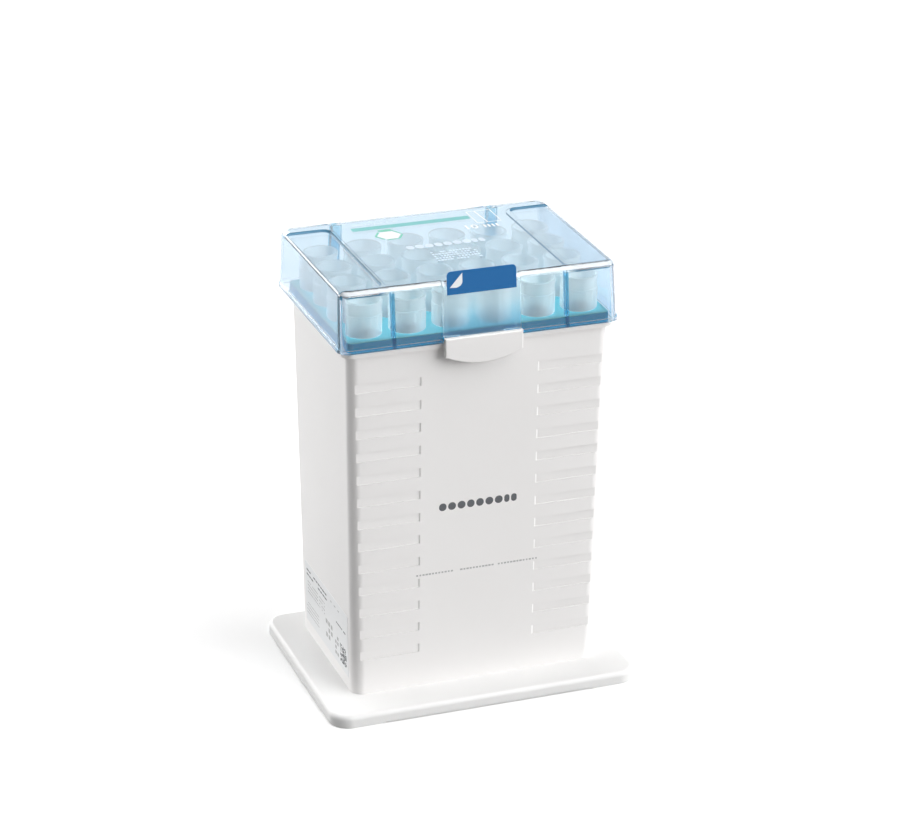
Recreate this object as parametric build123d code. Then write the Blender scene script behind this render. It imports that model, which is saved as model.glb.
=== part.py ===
from build123d import *

import math
import os

# Rack box of long pipette tips: tapered rack body on a wide base plate, tip tray, hinged clear lid.
#
# Frame: millimetres, +Z up, +X to the right, -Y to the front where the latch tab is.
# The origin is the middle of the base plate's underside.

# ---------------------------------------------------------------- base plate
PLATE_WIDTH = 142.0
PLATE_DEPTH = 106.0
PLATE_THICKNESS = 5.6
PLATE_CORNER_RADIUS = 9.0
PLATE_TOP_ROUND = 2.0
PLATE_SKIN = 2.4
PLATE_SKIRT_WALL = 2.2
PLATE_RIB_WIDTH = 1.6
PLATE_RIB_COUNT_X = 4
PLATE_RIB_COUNT_Y = 3
FOOT_LENGTH_X = 22.5
FOOT_LENGTH_Y = 20.0
FOOT_HEIGHT = 0.5

# ---------------------------------------------------------------- rack body
BODY_TOP_WIDTH = 117.8
BODY_TOP_DEPTH = 81.2
BODY_BOTTOM_WIDTH = 113.0
BODY_BOTTOM_DEPTH = 75.2
BODY_HEIGHT = 162.4
BODY_OFFSET_Y = 2.8
BODY_TOP_CORNER_RADIUS = 4.6
BODY_BOTTOM_CORNER_RADIUS = 5.4
BODY_WALL = 1.8
BODY_FLOOR = 1.8
BODY_FOOT_RECESS = 3.6
FLANGE_HEIGHT = 2.2
FLANGE_OVERHANG_SIDE = 2.2
FLANGE_OVERHANG_FRONT = 1.1
FLANGE_CORNER_RADIUS = 5.0

# Locating ring of the plate, standing inside the recess under the rack body
LOCATOR_HEIGHT = 3.0
LOCATOR_WALL = 1.8
LOCATOR_CLEARANCE = 0.3

# Shallow front pockets in two columns
POCKET_ROWS = 13
POCKET_PITCH = 10.56
POCKET_HEIGHT = 4.1
POCKET_DEPTH = 0.35
POCKET_INNER_X = 26.3
POCKET_END_SLOPE = 0.6
POCKET_TOP_BELOW_FLANGE = 14.8

# Latch tab in front of the rim
TAB_WIDTH = 35.0
TAB_THICKNESS = 2.0
TAB_STAND_OFF = 1.7
TAB_RISE = 2.8
TAB_SIDE_DROP = 5.6
TAB_CURVE_DROP = 4.2
TAB_EDGE_ROUND = 0.7

# ---------------------------------------------------------------- tips and their grid
TIP_COLUMNS = 6
TIP_ROWS = 4
TIP_PITCH = 19.4
TIP_LENGTH = 165.0
COLLAR_HEIGHT = 15.1
COLLAR_RADIUS = 8.0
COLLAR_RIM_PROUD = 0.1
COLLAR_NECK_DEPTH = 0.25
COLLAR_WALL = 1.1
COLLAR_STEP = 1.0
COLLAR_RIM_HEIGHT = 1.7
COLLAR_NECK_HEIGHT = 4.1
SOCKET_LENGTH = 7.0
SOCKET_LEAD_IN = 0.35
TIP_MIDDLE_NARROWING = 1.1
TIP_MIDDLE_HEIGHT = 100.0
TIP_NOSE_RADIUS = 3.3
TIP_NOSE_HEIGHT = 34.0
TIP_END_RADIUS = 1.5
TIP_END_BORE_RADIUS = 0.8
TIP_WALL = 0.8

# ---------------------------------------------------------------- tip tray
TRAY_EDGE_INSET = 0.3
TRAY_HEIGHT = 4.2
TRAY_SKIN = 1.8
TRAY_SKIRT_WALL = 1.5
TRAY_CORNER_RADIUS = 2.6
TRAY_TOP_ROUND = 0.5
TRAY_HOLE_CLEARANCE = 0.35
TRAY_SLEEVE_WALL = 0.75
TRAY_SLEEVE_DEPTH = 5.0
TRAY_LOCATOR_DEPTH = 3.0
TRAY_LOCATOR_CLEARANCE = 0.3

# ---------------------------------------------------------------- lid
LID_BOTTOM_WIDTH = 124.8
LID_BOTTOM_DEPTH = 91.4
LID_TOP_WIDTH = 123.2
LID_TOP_DEPTH = 87.0
LID_HEIGHT = 26.3
LID_REST_GAP = 0.2
LID_BACK_OVERHANG = 8.4
LID_TOP_SHIFT_Y = 0.5
LID_CORNER_RADIUS = 4.6
LID_TOP_ROUND = 2.8
LID_INNER_ROUND = 1.4
LID_WALL = 1.7
LID_CEILING = 1.9
LID_RIM_BEAD = 0.5
LID_RIM_BEAD_HEIGHT = 1.6
END_PANEL_INNER_X = 41.6
END_PANEL_FRONT_MARGIN = 3.2
END_PANEL_BACK_MARGIN = 8.4
END_PANEL_DEPTH = 1.0
END_PANEL_CORNER_RADIUS = 4.0
END_PANEL_EDGE_ROUND = 0.8
STIFFENER_WIDTH = 1.2
STIFFENER_DEPTH = 2.0
STIFFENER_GAP = 0.3
HINGE_PAD_WIDTH = 4.2
HINGE_PAD_DEPTH = 3.0

# Proud latch panel of the lid, over the tab
BULGE_WIDTH = 34.6
BULGE_PROUD = 1.2
BULGE_TAB_GAP = 0.2
LATCH_TONGUE_WIDTH = 20.0
LATCH_TONGUE_THICKNESS = 1.1
LATCH_TONGUE_GAP = 0.5
LATCH_BEAD_RADIUS = 0.35
LATCH_CATCH_GAP = 0.06

# ---------------------------------------------------------------- hinge at the back
HINGE_CENTRE_X = 36.4
HINGE_BEHIND_BODY = 3.9
HINGE_BELOW_RIM = 2.0
HINGE_PIN_RADIUS = 1.5
HINGE_RUNNING_CLEARANCE = 0.06
HINGE_LUG_WIDTH = 5.0
HINGE_LUG_RADIUS = 2.2
HINGE_EAR_WIDTH = 3.0
HINGE_EAR_RADIUS = 3.1
HINGE_SIDE_GAP = 0.4
HINGE_EAR_MOUTH = 2.2

# ---------------------------------------------------------------- labels
SEAL_WIDTH = 31.0
SEAL_HEIGHT = 10.1
SEAL_ABOVE_LID = 4.5
SEAL_THICKNESS = 0.15
SEAL_CORNER_RADIUS = 1.9
SIDE_LABEL_LENGTH = 61.5
SIDE_LABEL_HEIGHT = 29.5
SIDE_LABEL_ABOVE_PLATE = 6.0
SIDE_LABEL_SHIFT_Y = -0.5
SIDE_LABEL_THICKNESS = 0.12

# Distance within which two heights count as the same when edges are picked
PICK_TOLERANCE = 0.01

# ---------------------------------------------------------------- places worked out from the sizes
PLATE_TOP = PLATE_THICKNESS
RIM_TOP = PLATE_TOP + BODY_HEIGHT
TRAY_TOP = RIM_TOP + TRAY_HEIGHT
TIP_BOTTOM = TRAY_TOP + COLLAR_HEIGHT - TIP_LENGTH
COLLAR_RIM_RADIUS = COLLAR_RADIUS + COLLAR_RIM_PROUD
COLLAR_NECK_RADIUS = COLLAR_RADIUS - COLLAR_NECK_DEPTH
SOCKET_RADIUS = COLLAR_RADIUS - COLLAR_WALL
TIP_SHOULDER_RADIUS = COLLAR_RADIUS - COLLAR_STEP
TIP_MIDDLE_RADIUS = TIP_SHOULDER_RADIUS - TIP_MIDDLE_NARROWING
BODY_FRONT = BODY_OFFSET_Y - BODY_TOP_DEPTH / 2
BODY_BACK = BODY_OFFSET_Y + BODY_TOP_DEPTH / 2
FLANGE_FRONT = BODY_FRONT - FLANGE_OVERHANG_FRONT
LID_BOTTOM = RIM_TOP + LID_REST_GAP
LID_TOP = LID_BOTTOM + LID_HEIGHT
LID_BACK = BODY_BACK + LID_BACK_OVERHANG
LID_CENTRE_Y = LID_BACK - LID_BOTTOM_DEPTH / 2
LID_FRONT = LID_CENTRE_Y - LID_BOTTOM_DEPTH / 2
LID_TOP_CENTRE_Y = LID_CENTRE_Y + LID_TOP_SHIFT_Y
LID_TOP_FRONT = LID_TOP_CENTRE_Y - LID_TOP_DEPTH / 2
LID_TOP_BACK = LID_TOP_CENTRE_Y + LID_TOP_DEPTH / 2
TAB_FRONT = FLANGE_FRONT - TAB_STAND_OFF - TAB_THICKNESS
TAB_BACK = TAB_FRONT + TAB_THICKNESS
TAB_TOP = RIM_TOP + TAB_RISE
HINGE_Y = BODY_BACK + HINGE_BEHIND_BODY
HINGE_Z = RIM_TOP - HINGE_BELOW_RIM
FRONT_DRAFT = math.degrees(math.atan((BODY_TOP_DEPTH - BODY_BOTTOM_DEPTH) / 2 / BODY_HEIGHT))


def rounded_prism(width, depth, height, radius, centre_y=0.0, bottom=0.0):
    """Upright block with rounded vertical corners, centred on X."""
    outline = Pos(0, centre_y, bottom) * RectangleRounded(width, depth, radius)
    return extrude(outline, amount=height)


def tapered_prism(bottom_section, top_section):
    """Loft between two rounded rectangles, each (width, depth, radius, centre_y, z)."""
    faces = [
        Pos(0, centre_y, z) * RectangleRounded(width, depth, radius)
        for width, depth, radius, centre_y, z in (bottom_section, top_section)
    ]
    return loft(faces, ruled=True)


def block(x_range, y_range, z_range):
    """Box between the given low and high limits on each axis."""
    size = [high - low for low, high in (x_range, y_range, z_range)]
    middle = [(high + low) / 2 for low, high in (x_range, y_range, z_range)]
    return Pos(*middle) * Box(*size)


def prism_along_x(points, x_low, x_high):
    """Solid of constant (y, z) section between two X positions."""
    section = Plane.YZ.offset(x_low) * Polygon(*points, align=None)
    return extrude(section, amount=x_high - x_low, dir=(1, 0, 0))


def at_fraction(low, high, fraction):
    """Value part of the way from low to high."""
    return low + (high - low) * fraction


def body_section(z, inset=0.0):
    """Rounded rectangle of the rack body's outside at height z, drawn in by inset."""
    fraction = (z - PLATE_TOP) / BODY_HEIGHT
    width = at_fraction(BODY_BOTTOM_WIDTH, BODY_TOP_WIDTH, fraction) - 2 * inset
    depth = at_fraction(BODY_BOTTOM_DEPTH, BODY_TOP_DEPTH, fraction) - 2 * inset
    radius = at_fraction(BODY_BOTTOM_CORNER_RADIUS, BODY_TOP_CORNER_RADIUS, fraction) - inset
    return (width, depth, radius, BODY_OFFSET_Y, z)


def lid_section(z, inset=0.0):
    """Rounded rectangle of the lid's outside at height z, drawn in by inset."""
    fraction = (z - LID_BOTTOM) / LID_HEIGHT
    width = at_fraction(LID_BOTTOM_WIDTH, LID_TOP_WIDTH, fraction) - 2 * inset
    depth = at_fraction(LID_BOTTOM_DEPTH, LID_TOP_DEPTH, fraction) - 2 * inset
    centre_y = at_fraction(LID_CENTRE_Y, LID_TOP_CENTRE_Y, fraction)
    return (width, depth, LID_CORNER_RADIUS - inset, centre_y, z)


def lid_front_y(z):
    """Outside of the lid's front wall at height z."""
    return at_fraction(LID_FRONT, LID_TOP_FRONT, (z - LID_BOTTOM) / LID_HEIGHT)


def lid_back_y(z):
    """Outside of the lid's back wall at height z."""
    return at_fraction(LID_BACK, LID_TOP_BACK, (z - LID_BOTTOM) / LID_HEIGHT)


def hole_places():
    """Centres of the tip grid, from the front left, row by row."""
    return [
        (
            (column - (TIP_COLUMNS - 1) / 2) * TIP_PITCH,
            BODY_OFFSET_Y + (row - (TIP_ROWS - 1) / 2) * TIP_PITCH,
        )
        for row in range(TIP_ROWS)
        for column in range(TIP_COLUMNS)
    ]


def make_base_plate():
    """Shallow moulded plate: skin, skirt, ribs and corner feet below, locating ring above."""
    plate = rounded_prism(
        PLATE_WIDTH, PLATE_DEPTH, PLATE_THICKNESS - FOOT_HEIGHT, PLATE_CORNER_RADIUS, bottom=FOOT_HEIGHT
    )
    plate = fillet(plate.faces().sort_by(Axis.Z)[-1].edges(), PLATE_TOP_ROUND)
    hollow_width = PLATE_WIDTH - 2 * PLATE_SKIRT_WALL
    hollow_depth = PLATE_DEPTH - 2 * PLATE_SKIRT_WALL
    hollow_top = PLATE_THICKNESS - PLATE_SKIN
    hollow = rounded_prism(
        hollow_width, hollow_depth, hollow_top, PLATE_CORNER_RADIUS - PLATE_SKIRT_WALL
    )
    plate -= hollow

    ribs = []
    for i in range(PLATE_RIB_COUNT_X):
        x = (i - (PLATE_RIB_COUNT_X - 1) / 2) * PLATE_WIDTH / (PLATE_RIB_COUNT_X + 1)
        ribs.append(
            block(
                (x - PLATE_RIB_WIDTH / 2, x + PLATE_RIB_WIDTH / 2),
                (-PLATE_DEPTH / 2 + PLATE_SKIRT_WALL / 2, PLATE_DEPTH / 2 - PLATE_SKIRT_WALL / 2),
                (FOOT_HEIGHT, hollow_top),
            )
        )
    for i in range(PLATE_RIB_COUNT_Y):
        y = (i - (PLATE_RIB_COUNT_Y - 1) / 2) * PLATE_DEPTH / (PLATE_RIB_COUNT_Y + 1)
        ribs.append(
            block(
                (-PLATE_WIDTH / 2 + PLATE_SKIRT_WALL / 2, PLATE_WIDTH / 2 - PLATE_SKIRT_WALL / 2),
                (y - PLATE_RIB_WIDTH / 2, y + PLATE_RIB_WIDTH / 2),
                (FOOT_HEIGHT, hollow_top),
            )
        )
    for rib in ribs:
        plate += rib

    feet_outline = rounded_prism(PLATE_WIDTH, PLATE_DEPTH, hollow_top, PLATE_CORNER_RADIUS)
    reach_x = PLATE_WIDTH / 2 - FOOT_LENGTH_X
    reach_y = PLATE_DEPTH / 2 - FOOT_LENGTH_Y
    for side_x in (-1, 1):
        for side_y in (-1, 1):
            corner = block(
                tuple(sorted((side_x * reach_x, side_x * PLATE_WIDTH))),
                tuple(sorted((side_y * reach_y, side_y * PLATE_DEPTH))),
                (0, hollow_top),
            )
            plate += feet_outline & corner

    ring_inset = BODY_WALL + LOCATOR_CLEARANCE
    width, depth, radius, centre_y, _ = body_section(PLATE_TOP, ring_inset)
    ring = rounded_prism(width, depth, LOCATOR_HEIGHT, radius, centre_y, PLATE_TOP)
    ring -= rounded_prism(
        width - 2 * LOCATOR_WALL,
        depth - 2 * LOCATOR_WALL,
        LOCATOR_HEIGHT,
        radius - LOCATOR_WALL,
        centre_y,
        PLATE_TOP,
    )
    return plate + ring


def make_pocket_cutters():
    """Shallow slots in the front wall, running out through the front corners."""
    cutters = []
    outer_x = BODY_TOP_WIDTH / 2 + BODY_WALL
    for row in range(POCKET_ROWS):
        z = RIM_TOP - POCKET_TOP_BELOW_FLANGE - POCKET_HEIGHT / 2 - row * POCKET_PITCH
        face_y = body_section(z)[3] - body_section(z)[1] / 2
        outline = Polygon(
            (POCKET_INNER_X - POCKET_END_SLOPE, -POCKET_DEPTH),
            (outer_x, -POCKET_DEPTH),
            (outer_x, POCKET_DEPTH),
            (POCKET_INNER_X + POCKET_END_SLOPE, POCKET_DEPTH),
            align=None,
        )
        slot = extrude(Pos(0, 0, -POCKET_HEIGHT / 2) * outline, amount=POCKET_HEIGHT, dir=(0, 0, 1))
        for half in (slot, mirror(slot, Plane.YZ)):
            cutters.append(Pos(0, face_y, z) * Rot(FRONT_DRAFT, 0, 0) * half)
    return cutters


def make_latch_tab():
    """D-shaped tab standing in front of the rim, with the bridge that carries it."""
    half = TAB_WIDTH / 2
    side_bottom = RIM_TOP - TAB_SIDE_DROP
    outline = Polyline((-half, side_bottom), (-half, TAB_TOP), (half, TAB_TOP), (half, side_bottom))
    outline += ThreePointArc((half, side_bottom), (0, side_bottom - TAB_CURVE_DROP), (-half, side_bottom))
    face = Pos(0, TAB_BACK, 0) * Rot(90, 0, 0) * make_face(outline)
    tab = extrude(face, amount=TAB_THICKNESS, dir=(0, -1, 0))
    front_edges = tab.faces().sort_by(Axis.Y)[0].edges()
    tab = fillet(front_edges, TAB_EDGE_ROUND)
    bridge = block(
        (-half, half),
        (TAB_BACK - TAB_THICKNESS / 2, BODY_FRONT + BODY_WALL / 2),
        (RIM_TOP - FLANGE_HEIGHT, RIM_TOP),
    )
    ridge_z = RIM_TOP + TAB_RISE - LATCH_BEAD_RADIUS
    ridge = block(
        (-LATCH_TONGUE_WIDTH / 2, LATCH_TONGUE_WIDTH / 2),
        (TAB_BACK - TAB_THICKNESS / 2, TAB_BACK + LATCH_TONGUE_GAP - LATCH_BEAD_RADIUS - LATCH_CATCH_GAP),
        (ridge_z - LATCH_BEAD_RADIUS, ridge_z + LATCH_BEAD_RADIUS),
    )
    return tab + bridge + ridge


def make_hinge_lug(side):
    """Lug on the back of the rack body with the pin that the lid's ears turn on."""
    x = side * HINGE_CENTRE_X
    round_end = Pos(x, HINGE_Y, HINGE_Z) * Rot(0, 90, 0) * Cylinder(HINGE_LUG_RADIUS, HINGE_LUG_WIDTH)
    neck = block(
        (x - HINGE_LUG_WIDTH / 2, x + HINGE_LUG_WIDTH / 2),
        (BODY_BACK - BODY_WALL / 2, HINGE_Y),
        (HINGE_Z - HINGE_LUG_RADIUS, HINGE_Z + HINGE_LUG_RADIUS - LID_REST_GAP),
    )
    pin_length = HINGE_LUG_WIDTH + 2 * (HINGE_SIDE_GAP + HINGE_EAR_WIDTH + HINGE_SIDE_GAP)
    pin = Pos(x, HINGE_Y, HINGE_Z) * Rot(0, 90, 0) * Cylinder(HINGE_PIN_RADIUS, pin_length)
    return round_end + neck + pin


def make_rack_body():
    """Tapered open box with a floor, rim flange, front pockets, latch tab and hinge lugs."""
    body = tapered_prism(body_section(PLATE_TOP), body_section(RIM_TOP))
    width, depth, _, centre_y, _ = body_section(RIM_TOP)
    flange_depth = depth + FLANGE_OVERHANG_FRONT
    body += rounded_prism(
        width + 2 * FLANGE_OVERHANG_SIDE,
        flange_depth,
        FLANGE_HEIGHT,
        FLANGE_CORNER_RADIUS,
        centre_y - FLANGE_OVERHANG_FRONT / 2,
        RIM_TOP - FLANGE_HEIGHT,
    )
    body += make_latch_tab()
    for side in (-1, 1):
        body += make_hinge_lug(side)
    floor_bottom = PLATE_TOP + BODY_FOOT_RECESS
    floor_top = floor_bottom + BODY_FLOOR
    body -= tapered_prism(body_section(floor_top, BODY_WALL), body_section(RIM_TOP, BODY_WALL))
    body -= tapered_prism(body_section(PLATE_TOP, BODY_WALL), body_section(floor_bottom, BODY_WALL))
    for cutter in make_pocket_cutters():
        body -= cutter
    return body


def make_tip_tray():
    """Coloured tray: skin, outer skirt, locating skirt and one sleeve per tip."""
    width = BODY_TOP_WIDTH - 2 * TRAY_EDGE_INSET
    depth = BODY_TOP_DEPTH - 2 * TRAY_EDGE_INSET
    tray = rounded_prism(width, depth, TRAY_HEIGHT, TRAY_CORNER_RADIUS, BODY_OFFSET_Y, RIM_TOP)
    tray = fillet(tray.faces().sort_by(Axis.Z)[-1].edges(), TRAY_TOP_ROUND)
    tray -= rounded_prism(
        width - 2 * TRAY_SKIRT_WALL,
        depth - 2 * TRAY_SKIRT_WALL,
        TRAY_HEIGHT - TRAY_SKIN,
        TRAY_CORNER_RADIUS - TRAY_SKIRT_WALL,
        BODY_OFFSET_Y,
        RIM_TOP,
    )
    locator_inset = BODY_WALL + TRAY_LOCATOR_CLEARANCE
    in_width, in_depth, in_radius, _, _ = body_section(RIM_TOP - TRAY_LOCATOR_DEPTH, locator_inset)
    ring_height = TRAY_LOCATOR_DEPTH + TRAY_HEIGHT - TRAY_SKIN / 2
    ring_bottom = RIM_TOP - TRAY_LOCATOR_DEPTH
    ring = rounded_prism(in_width, in_depth, ring_height, in_radius, BODY_OFFSET_Y, ring_bottom)
    ring -= rounded_prism(
        in_width - 2 * TRAY_SKIRT_WALL,
        in_depth - 2 * TRAY_SKIRT_WALL,
        ring_height,
        in_radius - TRAY_SKIRT_WALL,
        BODY_OFFSET_Y,
        ring_bottom,
    )
    tray += ring
    hole_radius = TIP_SHOULDER_RADIUS + TRAY_HOLE_CLEARANCE
    sleeve_bottom = RIM_TOP - TRAY_SLEEVE_DEPTH
    sleeve_height = TRAY_TOP - TRAY_SKIN / 2 - sleeve_bottom
    align = (Align.CENTER, Align.CENTER, Align.MIN)
    sleeve = Cylinder(hole_radius + TRAY_SLEEVE_WALL, sleeve_height, align=align)
    hole = Cylinder(hole_radius, TRAY_TOP - sleeve_bottom, align=align)
    places = hole_places()
    tray += [Pos(x, y, sleeve_bottom) * sleeve for x, y in places]
    tray -= [Pos(x, y, sleeve_bottom) * hole for x, y in places]
    return tray


def make_tip():
    """Hollow tip about the Z axis, its open end down at z = 0."""
    shoulder = TIP_LENGTH - COLLAR_HEIGHT
    rim_bottom = TIP_LENGTH - COLLAR_RIM_HEIGHT
    neck_bottom = rim_bottom - COLLAR_NECK_HEIGHT
    socket_bottom = TIP_LENGTH - SOCKET_LENGTH
    outline = [
        (TIP_END_BORE_RADIUS, 0),
        (TIP_END_RADIUS, 0),
        (TIP_NOSE_RADIUS, TIP_NOSE_HEIGHT),
        (TIP_MIDDLE_RADIUS, TIP_MIDDLE_HEIGHT),
        (TIP_SHOULDER_RADIUS, shoulder),
        (COLLAR_RADIUS, shoulder),
        (COLLAR_RADIUS, neck_bottom),
        (COLLAR_NECK_RADIUS, neck_bottom + (COLLAR_RADIUS - COLLAR_NECK_RADIUS)),
        (COLLAR_NECK_RADIUS, rim_bottom),
        (COLLAR_RIM_RADIUS, rim_bottom),
        (COLLAR_RIM_RADIUS, TIP_LENGTH),
        (SOCKET_RADIUS + SOCKET_LEAD_IN, TIP_LENGTH),
        (SOCKET_RADIUS, TIP_LENGTH - SOCKET_LEAD_IN),
        (SOCKET_RADIUS, socket_bottom),
        (TIP_SHOULDER_RADIUS - TIP_WALL, shoulder - TIP_WALL),
        (TIP_MIDDLE_RADIUS - TIP_WALL, TIP_MIDDLE_HEIGHT),
        (TIP_NOSE_RADIUS - TIP_WALL, TIP_NOSE_HEIGHT),
    ]
    profile = Plane.XZ * Polygon(*outline, align=None)
    return revolve(profile, axis=Axis.Z)


def cut_end_panels(shape, floor_z, inner_x, front_y, back_y, radius):
    """Lower the ceiling of a lid-shaped solid at both ends, down to floor_z."""
    past_side = LID_BOTTOM_WIDTH
    for side in (-1, 1):
        outline = Rectangle(past_side - inner_x, back_y - front_y)
        outline = fillet(outline.vertices(), radius)
        middle_x = side * (past_side + inner_x) / 2
        pocket = extrude(Pos(middle_x, (front_y + back_y) / 2, floor_z) * outline, amount=LID_HEIGHT)
        shape -= pocket
    return shape


def bulge_block(half_width, proud, bottom, top):
    """Slab that follows the lid's front wall, standing proud of it by the given amount."""
    section = [
        (lid_front_y(bottom) - proud, bottom),
        (lid_front_y(top) - proud, top),
        (lid_front_y(top) + 2 * STIFFENER_DEPTH, top),
        (lid_front_y(bottom) + 2 * STIFFENER_DEPTH, bottom),
    ]
    return prism_along_x(section, -half_width, half_width)


def round_front_edge(slab, radius):
    """Round the top front edge of a slab that runs along X."""
    top_edges = slab.edges().filter_by(Axis.X).group_by(Axis.Z)[-1]
    return fillet(top_edges.sort_by(Axis.Y)[0], radius)


def make_lid_outside(bulge_bottom):
    """Solid outside of the lid, with the latch panel, rounded edges and lowered end panels."""
    shell = tapered_prism(lid_section(LID_BOTTOM), lid_section(LID_TOP))
    shell = fillet(shell.faces().sort_by(Axis.Z)[-1].edges(), LID_TOP_ROUND)
    bulge = bulge_block(BULGE_WIDTH / 2, BULGE_PROUD, bulge_bottom, LID_TOP)
    shell += round_front_edge(bulge, LID_TOP_ROUND)
    panel_z = LID_TOP - END_PANEL_DEPTH
    shell = cut_end_panels(
        shell,
        panel_z,
        END_PANEL_INNER_X,
        LID_TOP_FRONT + END_PANEL_FRONT_MARGIN,
        LID_TOP_BACK - END_PANEL_BACK_MARGIN,
        END_PANEL_CORNER_RADIUS,
    )
    level = (panel_z - PICK_TOLERANCE, panel_z + PICK_TOLERANCE)
    panel_edges = shell.edges().filter_by(Axis.Y).filter_by_position(Axis.Z, *level)
    outer_edges = [panel_edges.sort_by(Axis.X)[0], panel_edges.sort_by(Axis.X)[-1]]
    return fillet(outer_edges, END_PANEL_EDGE_ROUND)


def make_lid_inside(bulge_bottom):
    """Solid that fills the hollow of the lid."""
    ceiling = LID_TOP - LID_CEILING
    hollow = tapered_prism(lid_section(LID_BOTTOM, LID_WALL), lid_section(ceiling, LID_WALL))
    hollow = fillet(hollow.faces().sort_by(Axis.Z)[-1].edges(), LID_INNER_ROUND)
    bulge = bulge_block(BULGE_WIDTH / 2 - LID_WALL, BULGE_PROUD - LID_WALL, bulge_bottom, ceiling)
    hollow += round_front_edge(bulge, LID_INNER_ROUND)
    return cut_end_panels(
        hollow,
        ceiling - END_PANEL_DEPTH,
        END_PANEL_INNER_X - LID_WALL,
        LID_TOP_FRONT + END_PANEL_FRONT_MARGIN - LID_WALL,
        LID_TOP_BACK - END_PANEL_BACK_MARGIN + LID_WALL,
        END_PANEL_CORNER_RADIUS + LID_WALL,
    )


def make_lid_inner_ribs():
    """Stiffeners of the front wall, between the outer tip columns, and pads of the back wall."""
    ceiling = LID_TOP - LID_CEILING / 2
    ribs = []
    stiffener_x = (TIP_COLUMNS / 2 - 1) * TIP_PITCH
    inner_bottom = TRAY_TOP + STIFFENER_GAP
    stiffener_section = [
        (lid_front_y(inner_bottom) + LID_WALL / 2, inner_bottom),
        (lid_front_y(inner_bottom) + LID_WALL + STIFFENER_DEPTH, inner_bottom),
        (lid_front_y(ceiling) + LID_WALL + STIFFENER_DEPTH, ceiling),
        (lid_front_y(ceiling) + LID_WALL / 2, ceiling),
    ]
    pad_section = [
        (lid_back_y(TRAY_TOP) - LID_WALL - HINGE_PAD_DEPTH, TRAY_TOP),
        (lid_back_y(TRAY_TOP) - LID_WALL / 2, TRAY_TOP),
        (lid_back_y(ceiling) - LID_WALL / 2, ceiling),
        (lid_back_y(ceiling) - LID_WALL - HINGE_PAD_DEPTH, ceiling),
    ]
    for side in (-1, 1):
        x = side * stiffener_x
        ribs.append(prism_along_x(stiffener_section, x - STIFFENER_WIDTH / 2, x + STIFFENER_WIDTH / 2))
        x = side * HINGE_CENTRE_X
        ribs.append(prism_along_x(pad_section, x - HINGE_PAD_WIDTH / 2, x + HINGE_PAD_WIDTH / 2))
    return ribs


def make_hinge_ears(side):
    """Two ears of the lid that snap over the pin at one lug, open downwards."""
    ears = []
    bore_radius = HINGE_PIN_RADIUS + HINGE_RUNNING_CLEARANCE
    for direction in (-1, 1):
        spacing = (HINGE_LUG_WIDTH + HINGE_EAR_WIDTH) / 2 + HINGE_SIDE_GAP
        x = side * HINGE_CENTRE_X + direction * spacing
        limits = (x - HINGE_EAR_WIDTH / 2, x + HINGE_EAR_WIDTH / 2)
        centre = Pos(x, HINGE_Y, HINGE_Z) * Rot(0, 90, 0)
        ear = centre * Cylinder(HINGE_EAR_RADIUS, HINGE_EAR_WIDTH)
        ear += block(limits, (HINGE_Y, LID_BACK - LID_WALL / 2), (HINGE_Z - HINGE_EAR_RADIUS / 2, TRAY_TOP))
        ear -= centre * Cylinder(bore_radius, HINGE_EAR_WIDTH)
        mouth_y = (HINGE_Y - HINGE_EAR_MOUTH / 2, HINGE_Y + HINGE_EAR_MOUTH / 2)
        ear -= block(limits, mouth_y, (HINGE_Z - HINGE_EAR_RADIUS - LID_REST_GAP, HINGE_Z))
        ears.append(ear)
    return ears


def make_latch_tongue(bulge_bottom):
    """Tongue inside the latch panel, with the bead that passes behind the tab."""
    half = LATCH_TONGUE_WIDTH / 2
    front = TAB_BACK + LATCH_TONGUE_GAP
    tongue_bottom = RIM_TOP + LID_REST_GAP
    tongue = block(
        (-half, half), (front, front + LATCH_TONGUE_THICKNESS), (tongue_bottom, bulge_bottom + LID_WALL)
    )
    shelf = block(
        (-half, half),
        (lid_front_y(bulge_bottom) - BULGE_PROUD + LID_WALL / 2, front + LATCH_TONGUE_THICKNESS),
        (bulge_bottom, bulge_bottom + LID_WALL),
    )
    bead_z = RIM_TOP + TAB_RISE - 4 * LATCH_BEAD_RADIUS
    bead = Pos(0, front, bead_z) * Rot(0, 90, 0) * Cylinder(LATCH_BEAD_RADIUS, 2 * half)
    return tongue + shelf + bead


def make_lid():
    """Clear hinged lid with stiffeners, hinge pads and ears, and the latch tongue."""
    bulge_bottom = TAB_TOP + BULGE_TAB_GAP
    lid = make_lid_outside(bulge_bottom) - make_lid_inside(bulge_bottom)
    for rib in make_lid_inner_ribs():
        lid += rib
    bead_width = LID_BOTTOM_WIDTH + 2 * LID_RIM_BEAD
    bead_depth = LID_BOTTOM_DEPTH + 2 * LID_RIM_BEAD
    rim = rounded_prism(
        bead_width,
        bead_depth,
        LID_RIM_BEAD_HEIGHT,
        LID_CORNER_RADIUS + LID_RIM_BEAD,
        LID_CENTRE_Y,
        LID_BOTTOM,
    )
    rim -= tapered_prism(
        lid_section(LID_BOTTOM, LID_WALL / 2), lid_section(LID_BOTTOM + LID_RIM_BEAD_HEIGHT, LID_WALL / 2)
    )
    lid += rim
    notch_half = (TAB_WIDTH / 2) + BULGE_TAB_GAP
    lid -= block(
        (-notch_half, notch_half),
        (TAB_FRONT - TAB_THICKNESS, LID_FRONT + LID_WALL + LID_RIM_BEAD),
        (LID_BOTTOM - LID_REST_GAP, bulge_bottom),
    )
    for side in (-1, 1):
        for ear in make_hinge_ears(side):
            lid += ear
    return lid + make_latch_tongue(bulge_bottom)


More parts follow.
